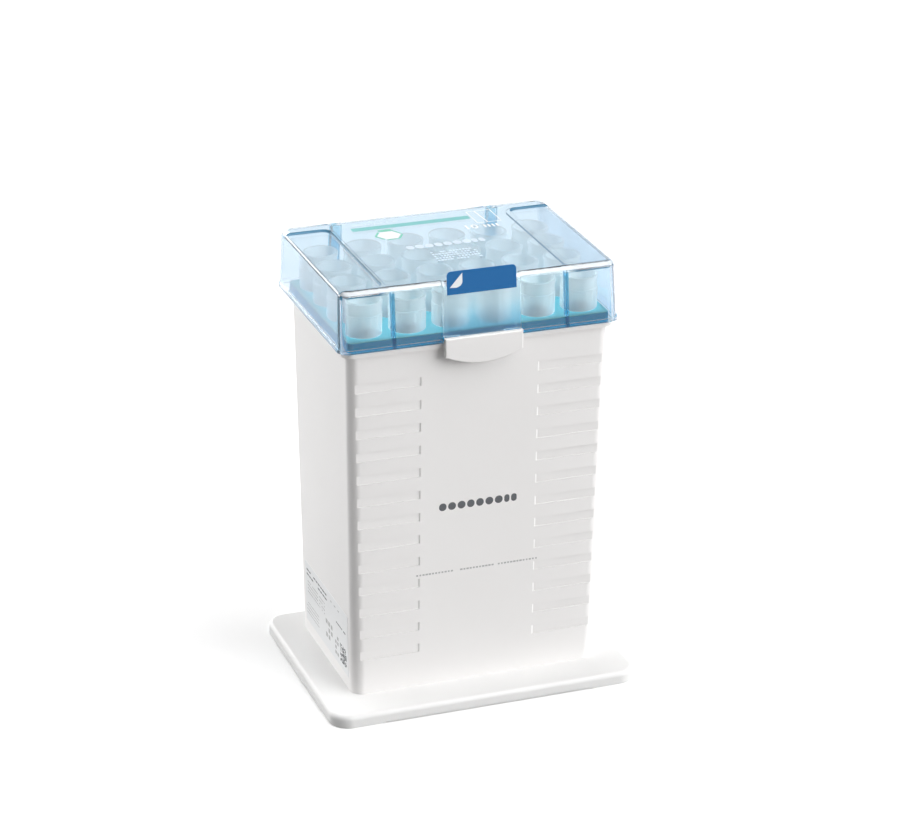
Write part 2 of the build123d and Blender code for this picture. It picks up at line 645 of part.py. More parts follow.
def make_seal_label():
    """Thin flat label on the face of the latch panel, its grip end standing above the lid."""
    outline = Rectangle(SEAL_WIDTH, SEAL_HEIGHT)
    outline = fillet(outline.vertices().sort_by(Axis.Y)[-2:], SEAL_CORNER_RADIUS)
    middle_z = LID_TOP + SEAL_ABOVE_LID - SEAL_HEIGHT / 2
    lean = math.degrees(math.atan((LID_TOP_FRONT - LID_FRONT) / LID_HEIGHT))
    face = Pos(0, lid_front_y(middle_z) - BULGE_PROUD, middle_z) * Rot(90 - lean, 0, 0)
    return face * extrude(outline, amount=SEAL_THICKNESS)


def make_side_label():
    """Thin label on the left wall of the rack body, near the plate."""
    low = PLATE_TOP + SIDE_LABEL_ABOVE_PLATE
    high = low + SIDE_LABEL_HEIGHT
    outset = -SIDE_LABEL_THICKNESS
    skin = tapered_prism(body_section(low, outset), body_section(high, outset))
    skin -= tapered_prism(body_section(low), body_section(high))
    middle_y = BODY_OFFSET_Y + SIDE_LABEL_SHIFT_Y
    half = SIDE_LABEL_LENGTH / 2
    return skin & block((-BODY_TOP_WIDTH, 0), (middle_y - half, middle_y + half), (low, high))


def main():
    """Build every piece and write it."""
    os.makedirs("parts", exist_ok=True)
    pieces = {
        "base_plate": make_base_plate(),
        "rack_body": make_rack_body(),
        "tip_tray": make_tip_tray(),
        "lid": make_lid(),
        "seal_label": make_seal_label(),
        "side_label": make_side_label(),
    }
    tip = make_tip()
    for number, (x, y) in enumerate(hole_places(), start=1):
        pieces[f"tip_{number:02d}"] = Pos(x, y, TIP_BOTTOM) * tip
    for name, piece in pieces.items():
        export_step(piece, f"parts/{name}.step")


if __name__ == "__main__":
    main()
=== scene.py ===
import sys
import logging
import math
from dataclasses import dataclass
from enum import Enum
from typing import Callable, Iterable, Optional, Sequence

import bmesh
import bpy
from bpy.types import Material, Mesh, Node, NodeSocket, NodeTree, Object, bpy_prop_collection
from mathutils import Matrix, Vector


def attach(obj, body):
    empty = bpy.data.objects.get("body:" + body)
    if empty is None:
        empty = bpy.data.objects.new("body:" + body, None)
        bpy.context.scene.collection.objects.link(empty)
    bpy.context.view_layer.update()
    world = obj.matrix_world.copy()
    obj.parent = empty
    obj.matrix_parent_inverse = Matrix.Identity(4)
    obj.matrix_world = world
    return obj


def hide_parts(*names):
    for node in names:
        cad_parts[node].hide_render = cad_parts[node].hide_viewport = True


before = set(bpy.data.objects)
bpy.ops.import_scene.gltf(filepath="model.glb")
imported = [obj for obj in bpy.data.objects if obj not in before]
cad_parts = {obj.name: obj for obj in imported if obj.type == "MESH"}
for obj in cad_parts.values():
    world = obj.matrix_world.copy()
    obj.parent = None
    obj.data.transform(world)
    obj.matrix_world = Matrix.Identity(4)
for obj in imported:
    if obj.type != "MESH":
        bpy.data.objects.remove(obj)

log = logging.getLogger("tip_rack")

MM = 0.001
PRINT_GAP = 0.005  # millimetres between a print and what it lies on
BAR_END_FLAT = 0.05  # millimetres by which a bar's end radius stays under half its width
GLOSS_SCALE = 240.0  # patches of uneven gloss to a metre
HAIRLINE_TURNS = (0.35, 1.45, 2.6)  # radians, the directions of the hairlines
LIGHT_PATHS = {
    "max_bounces": 28,
    "transmission_bounces": 24,
    "glossy_bounces": 24,
    "diffuse_bounces": 4,
    "transparent_max_bounces": 32,
    "caustics_refractive": False,
    "caustics_reflective": False,
}
NAME_BARS = (3.4, 3.6, 3.6, 3.4, 3.5, 3.6, 3.6, 2.4, 2.6)
NAME_BAR_GAP = 0.75

Flat = tuple[float, float]
Colour = tuple[float, float, float]
Outline = Sequence[Flat]
FaceTest = Callable[[Vector, Vector], bool]


class Body(Enum):
    """The moving bodies that a piece can ride on."""

    RACK = "rack"
    LID = "lid"


class Slot(Enum):
    """The material slots of the record."""

    WHITE = "white_plastic"
    GREY_WHITE = "grey_white_plastic"
    TRAY = "blue_tray_plastic"
    CLEAR = "clear_blue_plastic"
    TIP = "tip_plastic"
    SEAL = "blue_label"
    LABEL = "white_label"


class Ink(Enum):
    """The inks that the box is printed with."""

    DARK = "ink_dark_grey"
    PALE = "ink_pale_grey"
    FAINT = "ink_faint_white"
    WHITE = "ink_white"
    GREEN = "ink_green"
    TURQUOISE = "ink_turquoise"


class GroupKind(Enum):
    """The kinds of node group: Blender's name of the tree and of the sockets that it puts out."""

    SHADER = ("ShaderNodeTree", "NodeSocketFloat")
    SHAPE = ("GeometryNodeTree", "NodeSocketGeometry")


SOCKET_KINDS = {float: "NodeSocketFloat", int: "NodeSocketInt", tuple: "NodeSocketVector"}


def sine(degrees: float) -> float:
    """Sine of an angle in degrees."""
    return math.sin(math.radians(degrees))


def cosine(degrees: float) -> float:
    """Cosine of an angle in degrees."""
    return math.cos(math.radians(degrees))


def shift(x: float, y: float, z: float) -> Matrix:
    """Move by some millimetres."""
    return Matrix.Translation(Vector((x, y, z)) * MM)


def turned(degrees: float, axis: str) -> Matrix:
    """Turn about an axis through the origin."""
    return Matrix.Rotation(math.radians(degrees), 4, axis)


# ------------------------------------------------------------------ node trees


class Sheet:
    """A node tree with short calls for adding nodes, joining them and setting values."""

    def __init__(self, tree: NodeTree) -> None:
        """Take over an existing tree."""
        self.tree = tree

    def feed(self, target: NodeSocket, value: object) -> None:
        """Link a socket to a target, or set the target's own value, with full alpha for a colour.

        Args:
            target: Input socket.
            value: An output socket, or a plain value.
        """
        if isinstance(value, NodeSocket):
            self.tree.links.new(value, target)
        elif target.type == "RGBA":
            target.default_value = (*value, 1.0)
        else:
            target.default_value = value

    def add(self, kind: str, feeds: Optional[dict[object, object]] = None, **settings: object) -> Node:
        """Add a node.

        Args:
            kind: Blender's name of the node type.
            feeds: Socket or plain value for inputs, by their name or number.
            settings: Properties of the node to set first.

        Returns:
            The new node.
        """
        node = self.tree.nodes.new(kind)
        for name, value in settings.items():
            setattr(node, name, value)
        for key, value in (feeds or {}).items():
            self.feed(node.inputs[key], value)
        return node

    def maths(self, operation: str, *terms: object) -> NodeSocket:
        """Work out a Math node's operation on sockets or numbers."""
        return self.add("ShaderNodeMath", dict(enumerate(terms)), operation=operation).outputs[0]

    def product(self, *terms: object) -> NodeSocket:
        """Multiply two or more sockets or numbers."""
        rest = terms[1] if len(terms) == 2 else self.product(*terms[1:])
        return self.maths("MULTIPLY", terms[0], rest)

    def highest(self, first: NodeSocket, *others: NodeSocket) -> NodeSocket:
        """Take the highest of some sockets.

        Args:
            first: The first socket.
            others: The rest of them.

        Returns:
            The highest value.
        """
        for other in others:
            first = self.maths("MAXIMUM", first, other)
        return first

    def vector_maths(self, operation: str, *terms: object) -> Node:
        """Add a Vector Math node on sockets or vectors."""
        return self.add("ShaderNodeVectorMath", dict(enumerate(terms)), operation=operation)

    def vector(self, x: object = 0.0, y: object = 0.0, z: object = 0.0) -> NodeSocket:
        """Join three sockets or numbers into a vector."""
        return self.add("ShaderNodeCombineXYZ", {0: x, 1: y, 2: z}).outputs[0]

    def axes(self, place: NodeSocket) -> Sequence[NodeSocket]:
        """Split a vector into its X, Y and Z."""
        return self.add("ShaderNodeSeparateXYZ", {0: place}).outputs[:]

    def place(self) -> NodeSocket:
        """Object coordinates, in metres."""
        return self.add("ShaderNodeTexCoord").outputs["Object"]

    def noise(self, place: NodeSocket, scale: object, detail: float) -> NodeSocket:
        """Noise from 0 to 1 at a place."""
        feeds = {"Vector": place, "Scale": scale, "Detail": detail}
        return self.add("ShaderNodeTexNoise", feeds).outputs["Fac"]

    def ramp(
        self, value: object, low: float, high: float, start: float = 0.0, end: float = 1.0
    ) -> NodeSocket:
        """Go smoothly from start, where the value is low, to end, where it is high."""
        feeds = {"Value": value, "From Min": low, "From Max": high, "To Min": start, "To Max": end}
        return self.add("ShaderNodeMapRange", feeds, interpolation_type="SMOOTHSTEP").outputs["Result"]

    def over(self, value: NodeSocket, edge: float, soft: float = 0.4) -> NodeSocket:
        """Mask of what lies over an edge, in millimetres, with a soft border."""
        return self.ramp(value, (edge - soft / 2) * MM, (edge + soft / 2) * MM)

    def under(self, value: NodeSocket, edge: float, soft: float = 0.4) -> NodeSocket:
        """Mask of what lies under an edge, in millimetres, with a soft border."""
        return self.ramp(value, (edge - soft / 2) * MM, (edge + soft / 2) * MM, 1.0, 0.0)

    def near(self, value: NodeSocket, middle: float, half: float) -> NodeSocket:
        """Mask of what lies within half of a middle, in millimetres."""
        away = self.maths("ABSOLUTE", self.maths("SUBTRACT", value, middle * MM))
        return self.under(away, half, 0.3)

    def mix(self, share: object, first: object, second: object) -> NodeSocket:
        """Mix two colours: a share of 0 gives the first and 1 the second."""
        return self.add("ShaderNodeMix", {0: share, 6: first, 7: second}, data_type="RGBA").outputs[2]

    def blend(self, share: NodeSocket, first: object, second: object) -> NodeSocket:
        """Mix two numbers: a share of 0 gives the first and 1 the second."""
        return self.add("ShaderNodeMix", {0: share, 2: first, 3: second}, data_type="FLOAT").outputs[0]


class Group(Sheet):
    """A node group with named inputs and outputs."""

    def __init__(self, name: str, kind: GroupKind, inputs: dict[str, object], outputs: Sequence[str]) -> None:
        """Start the group.

        Args:
            name: Name of the group.
            kind: Kind of tree.
            inputs: Default value of each input, or Blender's name of a socket type that has none.
            outputs: Names of the outputs.
        """
        tree_type, output_type = kind.value
        super().__init__(bpy.data.node_groups.new(name, tree_type))
        sockets = self.tree.interface
        for label, default in inputs.items():
            if isinstance(default, str):
                sockets.new_socket(name=label, in_out="INPUT", socket_type=default)
            else:
                kind_of_socket = SOCKET_KINDS[type(default)]
                socket = sockets.new_socket(name=label, in_out="INPUT", socket_type=kind_of_socket)
                socket.default_value = default
        for label in outputs:
            sockets.new_socket(name=label, in_out="OUTPUT", socket_type=output_type)
        self.given = self.add("NodeGroupInput").outputs
        self.result = self.add("NodeGroupOutput").inputs

    def put_out(self, **sockets: NodeSocket) -> NodeTree:
        """Join sockets to the group's outputs.

        Args:
            sockets: Socket for each named output.

        Returns:
            The group's tree.
        """
        for name, socket in sockets.items():
            self.feed(self.result[name], socket)
        return self.tree


def moulded_skin_group() -> NodeTree:
    """Build the group for a moulded plastic surface: fine grain, slow waves and a slight mottle.

    Returns:
        A group with outputs Height, Gloss and Tone, each from 0 to 1.
    """
    inputs = {"Grain Scale": 2600.0, "Wave Scale": 55.0, "Grain Share": 0.5}
    group = Group("moulded_skin", GroupKind.SHADER, inputs, ("Height", "Gloss", "Tone"))
    place = group.place()
    grain = group.noise(place, group.given["Grain Scale"], 2.0)
    wave = group.noise(place, group.given["Wave Scale"], 1.0)
    gloss = group.noise(place, GLOSS_SCALE, 2.0)
    height = group.blend(group.given["Grain Share"], wave, grain)
    return group.put_out(Height=height, Gloss=group.ramp(gloss, 0.1, 0.9), Tone=group.ramp(wave, 0.3, 0.7))


def handling_marks_group() -> NodeTree:
    """Build the group for faint handling marks: short hairlines in three directions and soft smears.

    Returns:
        A group with outputs Hairlines and Smears, each from 0 to 1.
    """
    inputs = {"Line Scale": 90.0, "Line Length": 18.0, "Smear Scale": 28.0}
    group = Group("handling_marks", GroupKind.SHADER, inputs, ("Hairlines", "Smears"))
    place, length = group.place(), group.given["Line Length"]
    lines = []
    for turn in HAIRLINE_TURNS:
        feeds = {"Vector": place, "Rotation": (turn, turn / 2, turn)}
        rotated = group.add("ShaderNodeVectorRotate", feeds, rotation_type="EULER_XYZ").outputs[0]
        stretched = group.vector_maths("MULTIPLY", rotated, group.vector(1.0, length, length)).outputs[0]
        lines.append(group.ramp(group.noise(stretched, group.given["Line Scale"], 1.0), 0.70, 0.76))
    smears = group.ramp(group.noise(place, group.given["Smear Scale"], 3.0), 0.45, 0.75)
    return group.put_out(Hairlines=group.highest(*lines), Smears=smears)


class Effects:
    """The shader groups that more than one material uses, each built once."""

    def __init__(self) -> None:
        """Build both groups."""
        self.skin = moulded_skin_group()
        self.marks = handling_marks_group()


# ------------------------------------------------------------------ finishes


class MaterialSheet(Sheet):
    """The node tree of a new material."""

    def __init__(self, name: str) -> None:
        """Start an empty material.

        Args:
            name: Name of the material.
        """
        self.material = bpy.data.materials.new(name)
        self.material.use_nodes = True
        self.material.node_tree.nodes.clear()
        super().__init__(self.material.node_tree)

    def group(self, tree: NodeTree, **values: float) -> bpy_prop_collection:
        """Put in a group, its inputs named with underscores for spaces, and hand over its outputs."""
        feeds = {name.replace("_", " "): value for name, value in values.items()}
        return self.add("ShaderNodeGroup", feeds, node_tree=tree).outputs

    def worn(self, roughness: object, marks: bpy_prop_collection, lines: float, smears: float) -> NodeSocket:
        """Add a share of the handling marks' hairlines and smears to a roughness."""
        scuffed = self.maths("MULTIPLY_ADD", marks["Hairlines"], lines, roughness)
        return self.maths("MULTIPLY_ADD", marks["Smears"], smears, scuffed)

    def bump(self, height: NodeSocket, depth_mm: float) -> NodeSocket:
        """Direction of a surface with a height pattern of some depth."""
        return self.add("ShaderNodeBump", {"Height": height, "Distance": depth_mm * MM}).outputs["Normal"]

    def dress(self, feeds: dict[str, object], shadow_tint: Optional[Colour] = None) -> Material:
        """Finish the material with a Principled shader.

        Args:
            feeds: Socket or plain value for the shader's inputs.
            shadow_tint: Colour of the light that a clear material lets into its shadow.

        Returns:
            The material.
        """
        surface = self.add("ShaderNodeBsdfPrincipled", feeds).outputs[0]
        if shadow_tint is not None:
            in_shadow = self.add("ShaderNodeLightPath").outputs["Is Shadow Ray"]
            through = self.add("ShaderNodeBsdfTransparent", {"Color": shadow_tint}).outputs[0]
            surface = self.add("ShaderNodeMixShader", {0: in_shadow, 1: surface, 2: through}).outputs[0]
        self.add("ShaderNodeOutputMaterial", {"Surface": surface})
        return self.material


@dataclass(frozen=True)
class MouldedPlastic:
    """Opaque injection-moulded plastic with a fine skin and a little uneven gloss."""

    name: str
    colour: Colour
    tone_colour: Colour
    roughness: float
    roughness_spread: float
    bump_mm: float
    sheen_level: float = 0.5
    ior: float = 1.5
    grain_share: float = 0.35
    grain_scale: float = 1500.0
    wave_scale: float = 40.0
    marks_spread: float = 0.005

    def build(self, effects: Effects) -> Material:
        """Build the material.

        Args:
            effects: Shared shader groups.

        Returns:
            The material.
        """
        sheet = MaterialSheet(self.name)
        scales = {"Grain_Scale": self.grain_scale, "Wave_Scale": self.wave_scale}
        skin = sheet.group(effects.skin, Grain_Share=self.grain_share, **scales)
        marks = sheet.group(effects.marks)
        gloss = sheet.maths("MULTIPLY_ADD", skin["Gloss"], self.roughness_spread, self.roughness)
        return sheet.dress({
            "Base Color": sheet.mix(skin["Tone"], self.colour, self.tone_colour),
            "Roughness": sheet.worn(gloss, marks, self.marks_spread, self.marks_spread * 2),
            "Normal": sheet.bump(skin["Height"], self.bump_mm),
            "IOR": self.ior,
            "Specular IOR Level": self.sheen_level,
        })


@dataclass(frozen=True)
class ClearPlastic:
    """Clear tinted plastic, whose colour deepens with each wall that the light passes."""

    name: str
    colour: Colour
    roughness: float
    transmission: float
    sheen_level: float = 0.5
    solid: float = 1.0
    ior: float = 1.49
    shadow_tint: Colour = (0.95, 0.985, 1.0)
    bump_mm: float = 0.001
    wave_scale: float = 60.0
    grain_share: float = 0.04
    line_scale: float = 70.0
    marks_roughness: float = 0.05

    def tint(self, sheet: MaterialSheet, place: NodeSocket) -> object:
        """Colour of the plastic, the same all over."""
        return self.colour

    def frosted(self, sheet: MaterialSheet, place: NodeSocket, roughness: NodeSocket) -> NodeSocket:
        """Roughness of the plastic, with no frosted stretch."""
        return roughness

    def build(self, effects: Effects) -> Material:
        """Build the material.

        Args:
            effects: Shared shader groups.

        Returns:
            The material.
        """
        sheet = MaterialSheet(self.name)
        place = sheet.place()
        skin = sheet.group(effects.skin, Wave_Scale=self.wave_scale, Grain_Share=self.grain_share)
        marks = sheet.group(effects.marks, Line_Scale=self.line_scale)
        worn = sheet.worn(self.roughness, marks, self.marks_roughness, self.marks_roughness / 2)
        feeds = {
            "Base Color": self.tint(sheet, place),
            "Roughness": self.frosted(sheet, place, worn),
            "Normal": sheet.bump(skin["Height"], self.bump_mm),
            "Transmission Weight": self.transmission,
            "IOR": self.ior,
            "Specular IOR Level": self.sheen_level,
            "Alpha": self.solid,
        }
        return sheet.dress(feeds, self.shadow_tint)


@dataclass(frozen=True)
class LidPlastic(ClearPlastic):
    """The lid's clear plastic: deep blue in its ribs, pads and corners, frosted on the latch panel."""

    deep_colour: Colour = (0.10, 0.42, 0.66)
    top_z: float = 192.0
    rib_x: float = 38.8
    rib_half: float = 0.8
    rib_y: float = -33.5
    pad_x: float = 36.4
    pad_half: float = 2.3
    pad_y: float = 45.8
    corner_x: float = 60.6
    corner_soft: float = 0.6
    corner_y: float = -33.0
    corner_depth: float = 0.75
    latch_half: float = 17.2
    latch_y: float = -35.5
    latch_z: float = 178.0
    latch_fade: float = 16.0
    latch_depth: float = 0.6
    frost_y: float = -36.0
    frost_edge: float = 1.0
    frost_side: float = 0.2
    frost_roughness: float = 0.3

    def tint(self, sheet: MaterialSheet, place: NodeSocket) -> object:
        """Deepen the colour in thick places.

        Args:
            sheet: The material's sheet.
            place: Object coordinates, in metres.

        Returns:
            The colour.
        """
        x, y, z = sheet.axes(place)
        side = sheet.maths("ABSOLUTE", x)
        under_top = sheet.under(z, self.top_z)
        by_rib = sheet.near(side, self.rib_x, self.rib_half)
        ribs = sheet.product(by_rib, sheet.under(y, self.rib_y), under_top)
        by_pad = sheet.near(side, self.pad_x, self.pad_half)
        pads = sheet.product(by_pad, sheet.over(y, self.pad_y), under_top)
        beside = sheet.over(side, self.corner_x, self.corner_soft)
        corners = sheet.product(beside, sheet.under(y, self.corner_y), under_top, self.corner_depth)
        across, front = sheet.under(side, self.latch_half), sheet.under(y, self.latch_y)
        latch = sheet.product(across, front, sheet.under(z, self.latch_z, self.latch_fade), self.latch_depth)
        return sheet.mix(sheet.highest(ribs, pads, corners, latch), self.colour, self.deep_colour)

    def frosted(self, sheet: MaterialSheet, place: NodeSocket, roughness: NodeSocket) -> NodeSocket:
        """Roughen the front of the latch panel.

        Args:
            sheet: The material's sheet.
            place: Object coordinates, in metres.
            roughness: Roughness of the clear walls.

        Returns:
            The roughness.
        """
        x, y, z = sheet.axes(place)
        across = sheet.under(sheet.maths("ABSOLUTE", x), self.latch_half, self.frost_side)
        front = sheet.under(y, self.frost_y, self.frost_edge)
        low = sheet.under(z, self.top_z, self.frost_edge)
        return sheet.maths("MULTIPLY_ADD", sheet.product(across, front, low), self.frost_roughness, roughness)


@dataclass(frozen=True)
class PrintedFilm:
    """Satin label film or printed ink, with a faint fibre of the print in its colour."""

    name: str
    colour: Colour
    worn_colour: Colour
    roughness: float
    coat: float = 0.15
    sheen_level: float = 0.5
    coat_roughness: float = 0.25
    worn_share: float = 0.5
    smear_roughness: float = 0.12
    bump_mm: float = 0.003
    dot_scale: float = 1600.0
    wave_scale: float = 120.0
    dot_share: float = 0.6

    def build(self, effects: Effects) -> Material:
        """Build the material.

        Args:
            effects: Shared shader groups.

        Returns:
            The material.
        """
        sheet = MaterialSheet(self.name)
        scales = {"Grain_Scale": self.dot_scale, "Wave_Scale": self.wave_scale}
        skin = sheet.group(effects.skin, Grain_Share=self.dot_share, **scales)
        marks = sheet.group(effects.marks)
        share = sheet.product(skin["Height"], self.worn_share)
        return sheet.dress({
            "Base Color": sheet.mix(share, self.colour, self.worn_colour),
            "Roughness": sheet.maths("MULTIPLY_ADD", marks["Smears"], self.smear_roughness, self.roughness),
            "Normal": sheet.bump(skin["Height"], self.bump_mm),
            "Specular IOR Level": self.sheen_level,
            "Coat Weight": self.coat,
            "Coat Roughness": self.coat_roughness,
        })


class Finishes:
    """Every material of the box, built once."""

    def __init__(self) -> None:
        """Build the materials."""
        self.effects = Effects()
        plate, plate_tone = (0.85, 0.848, 0.843), (0.84, 0.838, 0.833)
        rack, rack_tone = (0.865, 0.852, 0.846), (0.858, 0.845, 0.838)
        # The darker grey for the rack's upward faces is painted shade: the same plastic, darkened where the
        # top light falls.
        ledge_painted_shade, ledge_painted_shade_tone = (0.62, 0.61, 0.605), (0.61, 0.60, 0.595)
        tray, tray_tone = (0.001, 0.47, 0.88), (0.002, 0.49, 0.90)
        # The paler blue for the tray's upward faces is painted light: the same plastic as the front edge,
        # lightened where light falls from above.
        tray_top, tray_top_painted_light_tone = (0.08, 0.52, 0.64), (0.09, 0.54, 0.66)
        self.plate = self.moulded("plate_white", plate, plate_tone, 0.42, 0.03, 0.0008, 0.2)
        self.rack = self.moulded("rack_grey_white", rack, rack_tone, 0.29, 0.02, 0.0012)
        self.ledge_painted_shade = self.moulded("rack_ledge_grey", ledge_painted_shade, ledge_painted_shade_tone, 0.29, 0.02, 0.0012)
        self.tray = self.moulded("tray_blue", tray, tray_tone, 0.29, 0.05, 0.0015, 0.05)
        self.tray_top = self.moulded("tray_top_blue", tray_top, tray_top_painted_light_tone, 0.3, 0.06, 0.0015, 0.2)
        # The edge and corner colours are whitened as painted highlights, and the dark step colour is painted
        # shade.
        clear, cloudy, edge_highlight = (0.86, 0.95, 1.0), (0.70, 0.835, 0.96), (0.87, 0.93, 1.0)
        corner_highlight, step_shade, natural = (0.84, 0.88, 1.0), (0.03, 0.16, 0.30), (0.95, 0.975, 0.98)
        lid = LidPlastic("lid_clear_blue", clear, 0.045, 1.0, sheen_level=0.05)
        sides = LidPlastic("lid_side_blue", cloudy, 0.045, 0.92)
        tint = (0.99, 0.995, 0.995)
        tip = ClearPlastic("tip_natural", natural, 0.28, 0.5, 0.3, 0.52, 1.4, tint, wave_scale=180.0)
        self.lid = lid.build(self.effects)
        self.lid_sides = sides.build(self.effects)
        # The whitened round along the top's edges is a painted highlight.
        self.lid_edge = ClearPlastic("lid_edge_milky", edge_highlight, 0.06, 0.4).build(self.effects)
        # The pale strip down the front corners is a painted highlight.
        self.lid_corner = ClearPlastic("lid_corner_pale", corner_highlight, 0.06, 0.8).build(self.effects)
        # The dark blue on the panel steps is painted shade.
        self.lid_step = ClearPlastic("lid_step_deep", step_shade, 0.3, 0.5, sheen_level=0.0).build(self.effects)
        self.tip = tip.build(self.effects)
        seal, seal_worn = (0.026, 0.147, 0.385), (0.028, 0.155, 0.40)
        self.seal = self.printed("seal_blue_film", seal, seal_worn, 0.6, 0.0, 0.1)
        self.label = self.printed("label_film", (0.82, 0.83, 0.84), (0.80, 0.81, 0.82), 0.30)
        self.inks = {
            ink: self.printed(ink.value, colour, worn, roughness)
            for ink, colour, worn, roughness in (
                (Ink.DARK, (0.085, 0.09, 0.1), (0.11, 0.115, 0.125), 0.45),
                (Ink.PALE, (0.42, 0.42, 0.42), (0.48, 0.48, 0.48), 0.45),
                (Ink.FAINT, (0.60, 0.70, 0.80), (0.55, 0.66, 0.77), 0.45),
                (Ink.WHITE, (0.85, 0.86, 0.87), (0.80, 0.82, 0.84), 0.4),
                (Ink.GREEN, (0.09, 0.47, 0.33), (0.12, 0.5, 0.36), 0.4),
                (Ink.TURQUOISE, (0.12, 0.42, 0.42), (0.15, 0.45, 0.45), 0.4),
            )
        }

    def moulded(self, *values: object) -> Material:
        """Build a moulded plastic from its values in order."""
        return MouldedPlastic(*values).build(self.effects)

    def printed(self, *values: object) -> Material:
        """Build a film or an ink from its values in order."""
        return PrintedFilm(*values).build(self.effects)


# ------------------------------------------------------------------ meshes


def mark_sharp(mesh: Mesh, degrees: float) -> None:
    """Shade a mesh smooth, with sharp edges where its faces turn by more than an angle."""
    mesh.polygons.foreach_set("use_smooth", [True] * len(mesh.polygons))
    mesh.set_sharp_from_angle(angle=math.radians(degrees))


def plain_mesh(shape: bmesh.types.BMesh, name: str) -> Mesh:
    """Turn an edit mesh into a plain mesh and free it.

    Args:
        shape: The edit mesh.
        name: Name of the plain mesh.

    Returns:
        The plain mesh.
    """
    mesh = bpy.data.meshes.new(name)
    shape.to_mesh(mesh)
    shape.free()
    return mesh


def add_object(name: str, data: bpy.types.ID) -> Object:
    """Put a new object into the scene.

    Args:
        name: Name of the object.
        data: Its mesh, curve or camera.

    Returns:
        The object.
    """
    thing = bpy.data.objects.new(name, data)
    bpy.context.scene.collection.objects.link(thing)
    return thing


def final_mesh(host: Object) -> Mesh:
    """Take an object's evaluated shape and remove the object.

    Args:
        host: Object with a text curve or a modifier.

    Returns:
        The shape as a plain mesh.
    """
    bpy.context.view_layer.update()
    graph = bpy.context.evaluated_depsgraph_get()
    shape = host.evaluated_get(graph)
    mesh = bpy.data.meshes.new_from_object(shape, preserve_all_data_layers=True, depsgraph=graph)
    bpy.data.objects.remove(host)
    return mesh


def place_mesh(
    name: str, mesh: Mesh, material: Material, body: Body, at: Optional[Matrix] = None
) -> Object:
    """Put a finished mesh into the scene as a piece that rides on a body.

    Args:
        name: Name of the piece.
        mesh: The mesh.
        material: Finish of the whole piece.
        body: Body that the piece moves with.
        at: Place that is put into the mesh first.

    Returns:
        The new object.
    """
    if at is not None:
        mesh.transform(at)
    mesh.name = name
    mesh.materials.clear()
    mesh.materials.append(material)
    mesh.polygons.foreach_set("material_index", [0] * len(mesh.polygons))
    piece = add_object(name, mesh)
    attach(piece, body.value)
    log.info("%s: %d faces on %s", name, len(mesh.polygons), body.value)
    return piece


def dress_faces(mesh: Mesh, material: Material, wanted: FaceTest) -> None:
    """Give some faces of a piece their own finish.

    Args:
        mesh: Mesh of the piece, which already has its main finish.
        material: Finish of the chosen faces.
        wanted: Says yes for a face, from its middle in millimetres and its outward direction.
    """
    mesh.materials.append(material)
    chosen = [face for face in mesh.polygons if wanted(face.center / MM, face.normal)]
    for face in chosen:
        face.material_index = len(mesh.materials) - 1
    log.info("%s: %d faces in %s", mesh.name, len(chosen), material.name)


def joined_copy(
    node: str, sharp_degrees: float = 28.0, flat_degrees: float = 0.0, cuts: Sequence[float] = ()
) -> Mesh:
    """Copy a node's loose triangles into one joined, smoothly shaded mesh.

    Args:
        node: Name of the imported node.
        sharp_degrees: Edges that turn by more than this stay sharp.
        flat_degrees: Flat neighbours within this angle become one face; 0 leaves them.
        cuts: Heights, in millimetres, at which faces are divided so that a finish can end there.

    Returns:
        The joined mesh.
    """
    shape = bmesh.new()
    shape.from_mesh(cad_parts[node].data)
    bmesh.ops.remove_doubles(shape, verts=shape.verts, dist=0.0005 * MM)
    if flat_degrees > 0.0:
        limit = math.radians(flat_degrees)
        verts, edges = shape.verts, shape.edges
        bmesh.ops.dissolve_limit(shape, angle_limit=limit, verts=verts, edges=edges, delimit=set())
    for height in cuts:
        everything = [*shape.verts, *shape.edges, *shape.faces]
        level = Vector((0.0, 0.0, height * MM))
        bmesh.ops.bisect_plane(shape, geom=everything, plane_co=level, plane_no=(0.0, 0.0, 1.0))
    loose = sum(1 for edge in shape.edges if not edge.is_manifold)
    mesh = plain_mesh(shape, node + "_joined")
    if "custom_normal" in mesh.attributes:
        mesh.attributes.remove(mesh.attributes["custom_normal"])
    mark_sharp(mesh, sharp_degrees)
    log.info("%s joined: %d faces, %d open edges", node, len(mesh.polygons), loose)
    return mesh


def soften_edges(piece: Object, width_mm: float, degrees: float = 40.0) -> None:
    """Give a piece's sharp edges a small moulded round.

    Args:
        piece: The piece.
        width_mm: Width of the round.
        degrees: Edges that turn by more than this are rounded.
    """
    bevel = piece.modifiers.new("moulded_edge", "BEVEL")
    bevel.width = width_mm * MM
    bevel.segments = 2
    bevel.limit_method = "ANGLE"
    bevel.angle_limit = math.radians(degrees)
    bevel.harden_normals = True
    bevel.use_clamp_overlap = True
    bevel.miter_outer = "MITER_ARC"


def dress_node(
    node: str, mesh: Mesh, name: str, material: Material, body: Body,
    faces: Sequence[tuple[Material, FaceTest]] = (), edge_round: float = 0.0,
) -> None:
    """Put a joined copy of a CAD node in the node's place.

    Args:
        node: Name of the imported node.
        mesh: The joined copy.
        name: Name of the piece.
        material: Finish of the whole piece.
        body: Body that the piece moves with.
        faces: Finishes of some faces, each with the test that chooses them.
        edge_round: Width of the round on sharp edges, in millimetres; 0 for none.
    """
    piece = place_mesh(name, mesh, material, body)
    for finish, wanted in faces:
        dress_faces(mesh, finish, wanted)
    if edge_round > 0.0:
        soften_edges(piece, edge_round)
    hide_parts(node)


